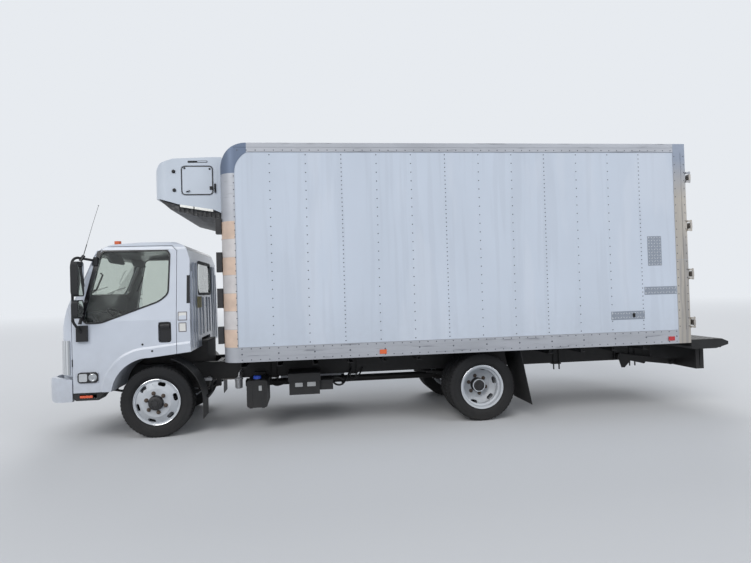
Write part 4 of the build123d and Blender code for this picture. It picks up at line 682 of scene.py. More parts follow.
def nut_ring(form, centre, count, ring, start, size, length, washer=0.0):
    """Hexagon nuts with a stud end, on a bolt circle about Y."""
    nut = [(0, 0.0), (0, size), (length * 0.64, size), (length * 0.7, size * 0.85),
           (length * 0.72, size * 0.58), (length, size * 0.52), (length, 0.0)]
    for angle in turns(count):
        angle += radians(start)
        foot = (centre[0] + ring * cos(angle), centre[1], centre[2] + ring * sin(angle))
        if washer:
            form.lathe([(0, 0.0), (0, washer), (0.005, washer * 0.95), (0.006, 0.0)], foot, sides=20)
        form.lathe(nut, foot, sides=6)


NUT_RING = 0.111
VALVE_SPOKE = Vector((cos(radians(100)), 0, sin(radians(100)))) * 0.205
FRONT_DISC = 0.050             # the front disc's face, in from the rim's outermost point
REAR_DISC = 0.835              # the rear disc's face, out from the truck's middle
# Columns: tyre node, rim node, body, hub cap's height, way out from the disc's face to the rim's lip
WHEELS = (("tyre_front_", "rim_front_", "wheel_front_", 0.052, -0.0335),
          ("tyres_rear_", "rims_rear_", "wheels_rear_", 0.090, 0.2075))
for side, name in SIDES:
    for tyre_node, rim_node, wheel_body, cap, to_lip in WHEELS:
        single = tyre_node == "tyre_front_"
        axle = 0.0 if single else AXLE_R
        body = wheel_body + name
        low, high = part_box(tyre_node + name)
        rim_low, rim_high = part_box(rim_node + name)
        tyres = Form()
        middles = (low.y + TYRE_HALF + 0.001, high.y - TYRE_HALF - 0.001)
        for middle in ((low.y + high.y) / 2,) if single else middles:
            tyre(tyres, axle, middle)
        tyres = tyres.piece(f"tread_{tyre_node}{name}", RUBBER, "wheel_rubber", body, smooth=32)
        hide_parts(tyre_node + name)
        face = max(-rim_low.y, rim_high.y) - FRONT_DISC if single else REAR_DISC
        hub = (axle, face, AXLE_Z)
        nuts = Form(side)
        nut_ring(nuts, hub, 6, NUT_RING, 43, 0.0185, 0.036, 0.024)
        nuts.piece(f"wheel_nuts_{tyre_node}{name}", RUSTY, "wheel_white", body, smooth=25)
        caps = Form(side)
        caps.lathe([(0, 0.078), (0, 0.086), (0.006, 0.084), (cap * 0.55, 0.081), (cap * 0.9, 0.074),
                    (cap, 0.060), (cap + 0.001, 0.034), (cap + 0.006, 0.032), (cap + 0.006, 0.0)],
                   hub, sides=48)
        nut_ring(caps, (axle, face + cap, AXLE_Z), 8, 0.047, 0, 0.0075, 0.010)
        caps.piece(f"hub_cap_{tyre_node}{name}", HUB_DARK, "wheel_white", body, smooth=30)
        rings = Form(side)
        rings.lathe([(0, 0.2625), (0.002, 0.2640), (0.004, 0.2600), (0.002, 0.2560), (0, 0.2565)],
                    (axle, face + to_lip, AXLE_Z), sides=72)
        foot = Vector((axle, face - 0.012, AXLE_Z)) + VALVE_SPOKE
        valve = [foot, foot + Vector((0.004, 0.030, 0.014)), foot + Vector((0.006, 0.050, 0.02))]
        rings.tube(valve, 0.004, 10)
        rings.piece(f"rim_trim_{tyre_node}{name}", CHROME, "wheel_white", body)

# Rivets and laps of the body's side panels
LAPS = [1.353 + 0.4064 * line for line in range(12)]
DENSE_LAPS = (2, 5, 8, 11)
LAP_OUT = PANEL_OUT + 0.0009
RAIL_PITCH = 0.1016
RAIL_JOINTS = (5.100, 3.280)
POST_JOINT = 1.878
STRIP_OUT = BODY_HALF + 0.0015
PLATE_PITCH = 0.203
PLATE_THICK = 0.0016
for side, name in SIDES:
    rivets = Form(side)
    laps = Form(side)
    for line, x in enumerate(LAPS):
        for z in spaced(RAIL_TOP + 0.03, PANEL_TOP - 0.03, 0.05 if line in DENSE_LAPS else 0.1):
            rivets.dome((x, LAP_OUT, z), OUT)
        laps.block((x - 0.017, PANEL_OUT, RAIL_TOP), (x + 0.017, LAP_OUT, PANEL_TOP))
    laps.piece(f"panel_laps_{name}", BODY_PAINT_SHADED, "body_white")
    for x in spaced(1.0, REAR_POST - 0.03, RAIL_PITCH):
        for z in (BODY_BOTTOM + 0.026, RAIL_TOP - 0.020, PANEL_TOP + 0.022):
            rivets.dome((x, BODY_HALF, z), OUT)
    for x in spaced(1.0, REAR_POST - 0.03, 4 * RAIL_PITCH):
        rivets.dome((x, BODY_HALF, BODY_BOTTOM + 0.090), OUT, 0.010, 0.004)
    for z in spaced(RAIL_TOP + 0.04, PANEL_TOP - 0.05, 0.1):
        for x in (REAR_POST + 0.018, BODY_END - 0.020):
            rivets.dome((x, BODY_HALF, z), OUT)
    for z in spaced(RAIL_TOP + 0.02, PANEL_TOP - 0.27, 0.075):
        rivets.dome((BODY_FRONT + 0.163, BODY_HALF, z), OUT)
    rivets.piece(f"body_rivets_{name}", RIVET_SHADE, "body_aluminium", smooth=60)

    # Joint strips: rail ends, the rear post's splice and the edge beads of the rails
    strips = Form(side)
    for x in RAIL_JOINTS:
        strips.block((x, BODY_HALF, BODY_BOTTOM + 0.004), (x + 0.003, STRIP_OUT, RAIL_TOP - 0.003))
    strips.block((REAR_POST + 0.002, BODY_HALF, POST_JOINT),
                 (BODY_END - 0.001, STRIP_OUT, POST_JOINT + 0.005))
    for start, z in ((0.004, RAIL_TOP - 0.006), (0.150, PANEL_TOP + 0.001)):
        bead = [(BODY_HALF + 0.004 * sin(a), z + 0.0025 * (1 + cos(a))) for a in turns(12)[:7]]
        strips.grid([flat(bead, "x", PANEL_FRONT + start), flat(bead, "x", REAR_POST - 0.001)])
    strips.piece(f"body_beads_{name}", RAIL_METAL, "body_aluminium")

    # Overlapping plates round the front corner
    for shade, material, start in (("tan", TAN_PLATE_SUNLIT, 0), ("grey", PALE_PLATE_SUNLIT, 1)):
        plates = Form(side)
        for number in range(start, 7, 2):
            low = RAIL_TOP + PLATE_PITCH * number + (0.001 if number else 0)
            rows = []
            for lift, z in ((0, low), (PLATE_THICK, low), (PLATE_THICK, low + 0.200), (0, low + 0.200)):
                bend = arc((BODY_FRONT + CORNER_R, CORNER_OUT), CORNER_R + lift, 180, 92, 16)
                rows.append(flat([(BODY_FRONT - lift, CORNER_OUT - 0.018)] + bend, "z", z))
            plates.grid(rows)
            for z in (low + 0.03, low + 0.10, low + 0.17):
                plates.dome((BODY_FRONT - PLATE_THICK, CORNER_OUT - 0.008, z), AHEAD)
        plates.piece(f"corner_plates_{shade}_{name}", material, "body_aluminium")

# Rivets and laps of the roof, the front wall and the header
ROOF_TOP = BODY_TOP - 0.004
FRONT_WALL = BODY_FRONT + 0.0028
FRONT_WALL_TOP = 2.480
top = Form()
for x in spaced(BODY_FRONT + 0.40, REAR_POST - 0.04, RAIL_PITCH):
    for side in (-1, 1):
        top.dome((x, side * (BODY_HALF - 0.045), BODY_TOP), UP)
for x in spaced(BODY_FRONT + 0.45, REAR_POST - 0.10, 0.61):
    top.block((x - 0.02, -BODY_HALF + 0.080, ROOF_TOP), (x + 0.02, BODY_HALF - 0.080, ROOF_TOP + 0.0015))
    for y in spaced(-BODY_HALF + 0.10, BODY_HALF - 0.10, 0.12):
        top.dome((x, y, ROOF_TOP + 0.0015), UP)
for y in spaced(-0.98, 0.98, 0.49):
    top.block((FRONT_WALL, y - 0.017, BODY_BOTTOM + 0.02), (FRONT_WALL + 0.0022, y + 0.017, FRONT_WALL_TOP))
    for z in spaced(BODY_BOTTOM + 0.06, FRONT_WALL_TOP - 0.04, 0.1):
        top.dome((FRONT_WALL, y, z), AHEAD)
for y in spaced(-1.15, 1.15, 0.115):
    for drop in (0.020, 0.200):
        top.dome((BODY_END, y, BODY_TOP - drop), BEHIND)
top.piece("roof_and_wall_rivets", RIVET_SHADE, "body_aluminium", smooth=60)

# Tread plate: three patches on the left side, and the deck behind the doors
DIAMOND = (0.034, 0.010, 0.0022)
PATCH_DIAMOND = (0.044, 0.012, 0.0025)
DIAMOND_PITCH = 0.036
SHEET = 0.002
PATCHES = ((5.907, 6.089, 1.815, 2.177), (5.846, 6.273, 1.459, 1.556), (5.402, 5.839, 1.164, 1.267))


def tread_plate(form, corner, u, v, lengths, out, diamond):
    """A thin plate from a corner along two directions, with raised diamonds that point two ways in turn."""
    corner, u, v, out = Vector(corner), Vector(u), Vector(v), Vector(out)
    along, over = u * lengths[0], v * lengths[1]
    form.prism([corner, corner + along, corner + along + over, corner + over], out * SHEET)
    length, width, height = diamond
    across, up = (max(1, int(reach / DIAMOND_PITCH)) for reach in lengths)
    for i in range(across):
        for j in range(up):
            spot = corner + along * ((i + 0.5) / across) + over * ((j + 0.5) / up) + out * SHEET
            turn = radians(45 if (i + j) % 2 else -45)
            a = (u * cos(turn) + v * sin(turn)) * (length / 2)
            b = (v * cos(turn) - u * sin(turn)) * (width / 2)
            form.add([spot - a, spot - b, spot + a, spot + b, spot + out * height],
                     [(0, 1, 4), (1, 2, 4), (2, 3, 4), (3, 0, 4)])


patches = Form()
for low_x, high_x, low_z, high_z in PATCHES:
    tread_plate(patches, (low_x, -PANEL_OUT, low_z), BEHIND, UP, (high_x - low_x, high_z - low_z), LEFT,
                PATCH_DIAMOND)
    for x in (low_x + 0.015, high_x - 0.015):
        for z in (low_z + 0.015, high_z - 0.015):
            patches.dome((x, -PANEL_OUT - SHEET, z), LEFT, 0.008, 0.004)
patches.piece("tread_patches", PATCH_PLATE, "body_aluminium", smooth=20)
clip = Form(-1)
clip.block((5.680, PANEL_OUT + 0.003, 1.190), (5.712, PANEL_OUT + 0.008, 1.240))
clip.tube([(5.696, PANEL_OUT + 0.010, 1.235), (5.696, PANEL_OUT + 0.016, 1.215),
           (5.696, PANEL_OUT + 0.010, 1.195)], 0.004, 8)
clip.piece("patch_clip", FRAME_BLACK, "frame_black", bevel=0.001)
deck = Form()
deck_x = BODY_END + 0.004
tread_plate(deck, (deck_x, -BODY_HALF + 0.004, FLOOR_TOP), BEHIND, OUT,
            (DECK_EDGE - 0.087 - deck_x, 2 * BODY_HALF - 0.008), UP, DIAMOND)
deck.piece("deck_tread_plate", DECK_PLATE, "frame_black", smooth=20)

# The wheel arch's raised band eases into the cab's side along its upper edge
FLARE_TOP = ((0.406, 1.0737), (-0.050, 1.025))
FLARE_ARC = (FLARE_TOP[1], (-0.433, 0.857), (-0.560, 0.567))
FLARE_SECTION = ((0.026, 0.0004), (0.0156, 0.00264), (0.0078, 0.00864), (0.0, 0.0126), (-0.003, 0.0124),
                 (-0.003, 0.010), (0.026, -0.001))
DOOR_REAR = 0.255


def flare_edge(side, line):
    """A wedge along the raised band's edge, from the cab's skin up to the band's face."""
    form = Form(side)
    rows = []
    for i, (x, z) in enumerate(line):
        before, after = line[max(0, i - 1)], line[min(len(line) - 1, i + 1)]
        away = Vector((after[1] - before[1], before[0] - after[0])).normalized()
        rows.append([(x + away.x * out, CAB_HALF + lift, z + away.y * out) for out, lift in FLARE_SECTION])
    form.grid(rows, closed_columns=True)
    form.cap(rows[0], rows[-1][::-1])
    return form


def on_flare_top(x):
    (rear_x, rear_z), (front_x, front_z) = FLARE_TOP
    return (x, front_z + (x - front_x) * (rear_z - front_z) / (rear_x - front_x))


door_line = [on_flare_top(x) for x in (DOOR_REAR - 0.004, 0.18, 0.10, 0.03)] + arc_through(*FLARE_ARC, 28)
shell_line = [on_flare_top(x) for x in (0.404, 0.36, 0.31, DOOR_REAR + 0.004)]
for side, name in SIDES:
    edge = flare_edge(side, door_line)
    edge.piece(f"flare_edge_{name}", WHITE_PAINT_SHADED, "cab_white", f"cab_door_body_{name}", smooth=60)
    flare_edge(side, shell_line).piece(f"flare_end_{name}", WHITE_PAINT_SHADED, "cab_white", smooth=60)

# Window seals and the black borders of the door glass
SIDE_WINDOW = ((-0.753, 1.338), (-0.577, 2.145), (0.175, 2.140), (0.160, 1.640), (0.060, 1.560),
               (-0.560, 1.338))
GLASS_BORDER = ((-0.800, 1.330), (-0.618, 2.148), (-0.585, 2.158), (0.165, 2.152), (0.165, 2.146),
                (-0.580, 2.151), (-0.761, 1.330))
SCREEN = ((-0.860, 1.650), (0.860, 1.650), (0.790, 2.100), (-0.790, 2.100))
BACK_WINDOW = ((-0.480, 1.640), (0.480, 1.640), (0.470, 2.020), (-0.470, 2.020))
for side, name in SIDES:
    seal = Form(side)
    seal.band(side_skin, rounded(SIDE_WINDOW, 0.045), 0.006, 0.012, 0.005)
    seal.between(raised(side_skin, GLASS_BORDER, 0.0), raised(side_skin, GLASS_BORDER, 0.0035))
    seal.piece(f"side_window_seal_{name}", GLOSS_BLACK, "black_plastic", f"cab_door_body_{name}")
seal = Form()
seal.band(front_skin, rounded(SCREEN, 0.07), 0.010, 0.030, 0.006)
seal.band(back_skin, rounded(BACK_WINDOW, 0.07), 0.008, 0.026, 0.006)
seal.piece("cab_window_seals", SEAL, "black_plastic")


# Seats: crowned pads with piping, in place of the CAD's plain ones
def pad(name, centre, size, lean, channels, cells=10):
    """A crowned, closed pad with sewn channels across its face; lean turns it about Y."""
    length, width, depth = size
    place = Matrix.Translation(centre) @ Matrix.Rotation(radians(lean), 4, "Y")

    def bulge(u, v, w):
        """A point of the pad from its place in a cube of -1 to 1."""
        crown = (1 - abs(u) ** 3) * (1 - abs(v) ** 3)
        seam = max((max(0, 1 - abs(v - s) * 9) for s in channels), default=0)
        x = u * length / 2 * (1 - 0.035 * abs(w) ** 2 - 0.05 * abs(v) ** 6)
        y = v * width / 2 * (1 - 0.035 * abs(w) ** 2 - 0.05 * abs(u) ** 6)
        z = w * depth / 2 * (0.62 + 0.38 * crown)
        if w > 0.9:
            z -= 0.010 * seam * (1 - abs(u) ** 8)
        return place @ Vector((x, y, z))

    form = Form()
    fine = [k / cells - 1 for k in range(2 * cells + 1)]
    heights = (-1, -0.5, 0.5, 1)
    for end in (-1, 1):
        form.grid([[bulge(u, v, end) for v in fine] for u in fine])
    for end in (-1, 1):
        form.grid([[bulge(end, v, w) for v in fine] for w in heights])
    for end in (-1, 1):
        form.grid([[bulge(u, end, w) for u in fine] for w in heights])
    piece = form.piece(name, CLOTH, "seat_fabric", smooth=60, subdivide=1, weld=True)
    ends = [k / 12 - 1 for k in range(24)]
    edge = [(s, -1) for s in ends] + [(1, s) for s in ends]
    edge += [(-u, -v) for u, v in edge]
    loop = [bulge(u, v, 0.97) for u, v in edge]
    middle = place @ Vector((0, 0, depth * 0.4))
    rows = []
    for i, spot in enumerate(loop):
        way = (loop[(i + 1) % len(loop)] - loop[i - 1]).normalized()
        across = (spot - middle).cross(way).normalized()
        up = way.cross(across)
        rows.append([spot + (across * cos(a) + up * sin(a)) * 0.004 for a in turns(6)])
    piping = Form()
    piping.grid(rows, True, True)
    piping.piece(f"{name}_piping", PIPING, "seat_fabric")
    return piece


SEAT_Y = 0.65
for side, name in SIDES:
    y = side * SEAT_Y
    for part, x, z, size, lean, channels in (
            ("seat_cushion", -0.06, 1.110, (0.49, 0.49, 0.142), 0, (-0.5, 0.5)),
            ("seat_back", 0.232, 1.405, (0.59, 0.47, 0.112), -82, (-0.5, 0.5)),
            ("headrest", 0.276, 1.755, (0.145, 0.25, 0.085), -82, ())):
        pad(f"{part}_{name}", (x, y, z), size, lean, channels)
pad("middle_cushion", (0.01, 0, 1.153), (0.49, 0.61, 0.08), 0, (0.0,))
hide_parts("seats")

# Cab sides: mirror glasses and backs, handles, side lamps, studs and linings ride on the doors
MIRROR_OUT = 1.140
MIRRORS = ((1.640, 2.021, 0.095, -0.719), (1.400, 1.600, 0.090, -0.727))
MIRROR_CROWN = ((1.0, -0.001), (1.0, 0.0015), (0.6, 0.003), (0.2, 0.0035))
MIRROR_BACK = ((1.0, -0.7825), (0.97, -0.790), (0.88, -0.796), (0.6, -0.799), (0.15, -0.800))
HANDLE_CUP = rect(0.063, 1.098, 0.191, 1.318, 0.022)
HANDLE_RIM = ((0.0, -0.004), (0.0, 0.002), (0.006, 0.002), (0.007, 0.0))
SIDE_LAMP = rect(-0.811, 0.678, -0.598, 0.791, 0.024)
LAMP_CELL = rect(-0.798, 0.691, -0.711, 0.778, 0.012)
LAMP_FACE = BAND_OUT + 0.0028
LINING = rounded([(-0.845, 0.600), (-0.845, 1.300), (-0.760, 1.320), (-0.560, 1.318), (0.060, 1.540),
                  (0.150, 1.620), (0.235, 1.620), (0.235, 0.985), (0.020, 0.985), (-0.420, 0.920),
                  (-0.480, 0.600)], 0.03)
LINING_IN = 0.0605
LABELS = ((0.271, 1.333, 0.375, 1.434), (0.279, 1.203, 0.367, 1.311))
VENT_LOW = 1.535
VENT_PITCH = 0.0315
ARMREST = rounded([(-0.50, 1.190), (0.05, 1.230), (0.05, 1.275), (-0.50, 1.250)], 0.02)
for side, name in SIDES:
    body = f"cab_door_body_{name}"
    glasses = Form(side)
    shells = Form(side)
    for low, high, half, glass_x in MIRRORS:
        middle = (MIRROR_OUT, (low + high) / 2)
        outline = rect(MIRROR_OUT - half + 0.012, low + 0.012, MIRROR_OUT + half - 0.012, high - 0.012, 0.03)
        glasses.loft("x", [(shrunk(outline, middle, share), glass_x + lift)
                           for share, lift in MIRROR_CROWN], True)
        outline = rect(MIRROR_OUT - half, low, MIRROR_OUT + half, high, 0.035)
        shells.loft("x", [(shrunk(outline, middle, share), x) for share, x in MIRROR_BACK], True)
    glasses.piece(f"mirror_glass_{name}", MIRROR_GLASS, "black_plastic", body, smooth=20)
    shells.piece(f"mirror_back_{name}", PLASTIC, "black_plastic", body, smooth=50)

    handle = Form(side)
    handle.slab(HANDLE_CUP, "y", CAB_HALF - 0.0219, 0.004)
    handle.loft("y", [(widened(HANDLE_CUP, grow), CAB_HALF + lift) for grow, lift in HANDLE_RIM])
    rows = []
    for t in (k / 8 for k in range(9)):
        crown = 0.006 + 0.004 * sin(pi * t)
        grip = ((0.070, 0.003), (0.074, crown), (0.180, crown), (0.184, 0.003), (0.184, -0.018),
                (0.070, -0.018))
        rows.append([(x, CAB_HALF + lift, 1.246 + 0.050 * t) for x, lift in grip])
    handle.grid(rows, closed_columns=True)
    handle.cap(rows[0], rows[-1])
    handle.lathe([(0, 0.0), (0, 0.009), (0.003, 0.009), (0.003, 0.0)], (0.127, CAB_HALF - 0.018, 1.140),
                 sides=20)
    handle.piece(f"door_handle_{name}", GLOSS_BLACK, "black_plastic", body, smooth=35)

    # Side lamp: a dark frame with a clear and a round cell
    surround = Form(side)
    surround.slab(widened(SIDE_LAMP, 0.003), "y", CAB_HALF + 0.002, 0.013)
    surround.piece(f"side_lamp_frame_{name}", GLOSS_BLACK, "black_plastic", body, bevel=0.004)
    cells = Form(side)
    cells.slab(LAMP_CELL, "y", LAMP_FACE, 0.003)
    cells.lathe([(0.0, 0.044), (0.004, 0.043), (0.007, 0.032), (0.004, 0.026), (0.006, 0.016), (0.007, 0.0)],
                (-0.652, LAMP_FACE, 0.7345), sides=40)
    cells.piece(f"side_lamp_cells_{name}", LENS, "lamp_clear", body)

    # Studs, one of them on the raised band, and hinge covers at the door's front edge
    studs = Form(side)
    for x, out, z in ((-0.118, CAB_HALF, 1.078), (-0.012, BAND_OUT, 1.001)):
        studs.lathe([(0.0, 0.012), (0.003, 0.011), (0.005, 0.006), (0.0055, 0.0)], (x, out, z), sides=20)
    for z in (0.900, 1.400):
        studs.lathe([(-0.040, 0.0), (-0.040, 0.005), (0.040, 0.005), (0.040, 0.0)],
                    (-0.868, cab_side(z) + 0.001, z), axis="z", sides=12)
    studs.piece(f"door_studs_{name}", PLASTIC, "black_plastic", body)

    lining = Form(side)
    rows = [[(x, cab_side(z) - LINING_IN - lift, z) for x, z in widened(LINING, -lift)]
            for lift in (0.0, 0.010)]
    lining.grid(rows, closed_columns=True)
    lining.cap(rows[1])
    lining.slab(ARMREST, "y", CAB_HALF - 0.115, 0.050)
    lining.tube([(-0.30, CAB_HALF - 0.08, 1.13), (-0.30, CAB_HALF - 0.10, 1.13),
                 (-0.24, CAB_HALF - 0.105, 1.10), (-0.24, CAB_HALF - 0.125, 1.10)], 0.008, 10)
    lining.piece(f"door_lining_{name}", INTERIOR, "black_plastic", body, smooth=35)

    # Cab shell: labels behind the left door, vents, sill reflectors and step treads
    if side < 0:
        labels = Form(side)
        edges = Form(side)
        for low_x, low_z, high_x, high_z in LABELS:
            outline = rect(low_x, low_z, high_x, high_z, 0.006)
            out = side_skin(low_x, low_z)[1]
            labels.prism(raised(side_skin, outline, 0.0002), out * 0.0008)
            ring = widened(outline, -0.010)
            rows = [raised(side_skin, line, lift) for line, lift in
                    ((outline, 0.0005), (outline, 0.0014), (ring, 0.0014), (ring, 0.0005))]
            edges.grid(rows, closed_columns=True)
        labels.piece("blank_labels", LABEL, "cab_white")
        edges.piece("blank_label_edges", LABEL_EDGE, "cab_white")
    vent = Form(side)
    out = side_skin(0, VENT_LOW)[1]
    for row in range(10):
        low = VENT_LOW + row * VENT_PITCH
        vent.prism(raised(side_skin, rect(0.372, low, 0.400, low + 0.024), 0), out * 0.004)
    vent.prism(raised(side_skin, rect(0.368, 1.528, 0.404, 1.850), -0.001), out * 0.003)
    vent.piece(f"cab_vent_{name}", PLASTIC, "black_plastic", bevel=0.001)
    sill = Form(side)
    sill.slab(rect(-0.800, 0.506, -0.663, 0.533, 0.006), "y", 1.0165, 0.005)
    sill.piece(f"sill_reflector_{name}", ORANGE_LENS, "lamp_amber", bevel=0.0015)
    treads = Form(side)
    for number in range(7):
        x = -0.785 + number * 0.026
        treads.block((x, 0.850, 0.500), (x + 0.010, 1.005, 0.5035))
    treads.piece(f"step_treads_{name}", TREADPLATE, "black_plastic", bevel=0.001)

patch = Form()
patch.slab(rect(-0.615, 1.462, -0.320, 1.600, 0.006), "x", 0.4165, 0.0012)
patch.piece("blank_yellow_plate", LABEL_YELLOW, "cab_white")

wipers = Form()
for y in (-0.62, 0.12):
    foot = front_skin(y, 1.606)[0] + Vector((-0.010, 0, 0))
    knee = front_skin(y + 0.16, 1.640)[0] + Vector((-0.034, 0, 0))
    tip = front_skin(y + 0.34, 1.715)[0] + Vector((-0.026, 0, 0))
    wipers.tube([foot + Vector((-0.012, 0, 0)), knee, tip], 0.0065, 8)
    blade = [front_skin(y + 0.04 + 0.60 * t, 1.672 + 0.085 * t)[0] + Vector((-0.0125, 0, 0))
             for t in (0, 0.25, 0.5, 0.75, 1)]
    wipers.tube(blade, 0.0065, 8)
    wipers.tube([p + Vector((-0.010, 0, 0.004)) for p in blade[1:4]], 0.005, 8)
    wipers.lathe([(-0.026, 0.0), (-0.026, 0.012), (-0.020, 0.018), (0.012, 0.020), (0.012, 0.0)], foot,
                 axis="x", sides=16)
wipers.piece("wipers", GLOSS_BLACK, "black_plastic")

aerial = Form(-1)
mast = [(-0.768, 1.050, 1.900), (-0.733, 1.050, 2.040), (-0.680, 1.048, 2.220), (-0.615, 1.046, 2.440),
        (-0.546, 1.050, 2.650)]
aerial.tube(mast[:3], 0.0045, 8)
aerial.tube(mast[2:], 0.0022, 6)
aerial.lathe([(-0.004, 0.0), (-0.004, 0.004), (0.0, 0.006), (0.004, 0.004), (0.004, 0.0)], mast[-1], "z", 10)
aerial.tube([(-0.746, 1.066, 2.036), (-0.733, 1.050, 2.064), (-0.720, 1.034, 2.092)], 0.019, 14)
aerial.tube([mast[0], (-0.765, 1.040, 1.860), (-0.740, 1.000, 1.800), (-0.742, 0.958, 1.745)], 0.0035, 8)
aerial.piece("aerial", GLOSS_BLACK, "black_plastic", "cab_door_body_left")

# Headlamp cells, grille trim and the front plate
BOWLS = ((0.575, 0.862, 0.072), (0.755, 0.880, 0.078))
BOWL_SECTION = ((0.001, 1), (-0.005, 0.98), (-0.006, 0.90), (-0.001, 0.84), (0.0, 0.5), (-0.004, 0.38),
                (-0.006, 0.2), (-0.0065, 0.0))
HEADLAMP = rounded([(0.474, 0.776), (0.992, 0.776), (0.992, 1.140), (0.958, 1.140), (0.474, 0.955)], 0.02)
BEZEL = ((0.0, 0.009), (0.0, 0.0155), (-0.012, 0.0165), (-0.015, 0.012))
GRILLE_HALF = 0.448
for side, name in SIDES:
    bowls = Form(side)
    for y, z, radius in BOWLS:
        bowls.lathe([(way, radius * share) for way, share in BOWL_SECTION], (NOSE - 0.0125, y, z), "x", 48)
    bowls.piece(f"headlamp_bowls_{name}", CHROME, "lamp_clear")
    bezel = Form(side)
    rows = [raised(front_skin, widened(HEADLAMP, grow), lift) for grow, lift in BEZEL]
    bezel.grid(rows, closed_columns=True)
    bezel.piece(f"headlamp_bezel_{name}", GLOSS_BLACK, "black_plastic")

front = Form()
for z in (0.775, 1.004):
    front.block((NOSE - 0.001, -GRILLE_HALF, z), (NOSE - 0.007, GRILLE_HALF, z + 0.008))
for y in (-GRILLE_HALF, GRILLE_HALF - 0.008):
    front.block((NOSE - 0.001, y, 0.775), (NOSE - 0.007, y + 0.008, 1.012))
front.piece("grille_trim", CHROME, "black_plastic", bevel=0.002)
plate = Form()
outline = rect(-0.153, 0.578, 0.153, 0.730, 0.012)
plate.slab(outline, "x", PLATE_FACE - 0.004, -0.0015)
plate.loft("x", [(widened(outline, grow), PLATE_FACE - 0.0055 - lift)
                 for grow, lift in ((-0.006, 0.0), (-0.005, 0.001), (-0.001, 0.001), (0.0, 0.0))])
plate.piece("front_plate", LABEL, "cab_white")
holder = Form()
holder.slab(widened(outline, 0.006), "x", PLATE_FACE + 0.006, -0.010)
for y in (-0.10, 0.10):
    holder.dome((PLATE_FACE - 0.0055, y, 0.716), AHEAD, 0.007, 0.003)
holder.piece("front_plate_holder", PLASTIC, "black_plastic", bevel=0.001)

# Cab interior: gauges, keys, gear lever, visors and grab handles
GAUGE_R = 0.048
controls = Form()
for y in (-0.64, -0.52):
    controls.lathe([(0, GAUGE_R), (0.006, GAUGE_R * 0.97), (0.004, GAUGE_R * 0.86), (0, GAUGE_R * 0.84),
                    (0, 0)], (-0.678, y, 1.405), axis="x")
for row in range(3):
    for y in (-0.06, 0.06):
        x, z = -0.600 - row * 0.006, 1.16 + row * 0.035
        controls.block((x, y - 0.045, z), (x + 0.020, y + 0.045, z + 0.025))
controls.tube([(-0.36, -0.14, 1.105), (-0.40, -0.15, 1.24), (-0.46, -0.16, 1.36)], 0.011)
controls.lathe([(-0.035, 0.0), (-0.035, 0.014), (-0.01, 0.024), (0.02, 0.026), (0.038, 0.016), (0.042, 0.0)],
               (-0.464, -0.161, 1.375), axis="z", sides=20)
controls.lathe([(0.0, 0.070), (0.02, 0.066), (0.05, 0.035), (0.06, 0.014)], (-0.36, -0.14, 1.106), "z", 24)
controls.piece("cab_controls", GLOSS_BLACK, "black_plastic")
visors = Form()
for y in (-0.47, 0.47):
    outline = rect(-0.27, 0.0, 0.27, 0.13, 0.03)
    place = Matrix.Translation((-0.560, y, 2.080)) @ Matrix.Rotation(radians(-24), 4, "Y")
    rows = [[place @ Vector((lift, u, v - 0.06)) for u, v in widened(outline, grow)]
            for grow, lift in ((0.0, -0.009), (-0.006, -0.012), (-0.006, 0.012), (0.0, 0.009))]
    visors.grid(rows, True, True)
    visors.cap(rows[1], rows[2])
visors.piece("sun_visors", HEADLINER, "seat_fabric")
grips = Form()
for side in (-1, 1):
    grips.tube([(x, side * y, z) for x, y, z in ((-0.690, 0.842, 1.700), (-0.668, 0.812, 1.715),
                                                 (-0.600, 0.808, 1.880), (-0.610, 0.838, 1.900))], 0.010, 10)
grips.piece("grab_handles", PLASTIC, "black_plastic")

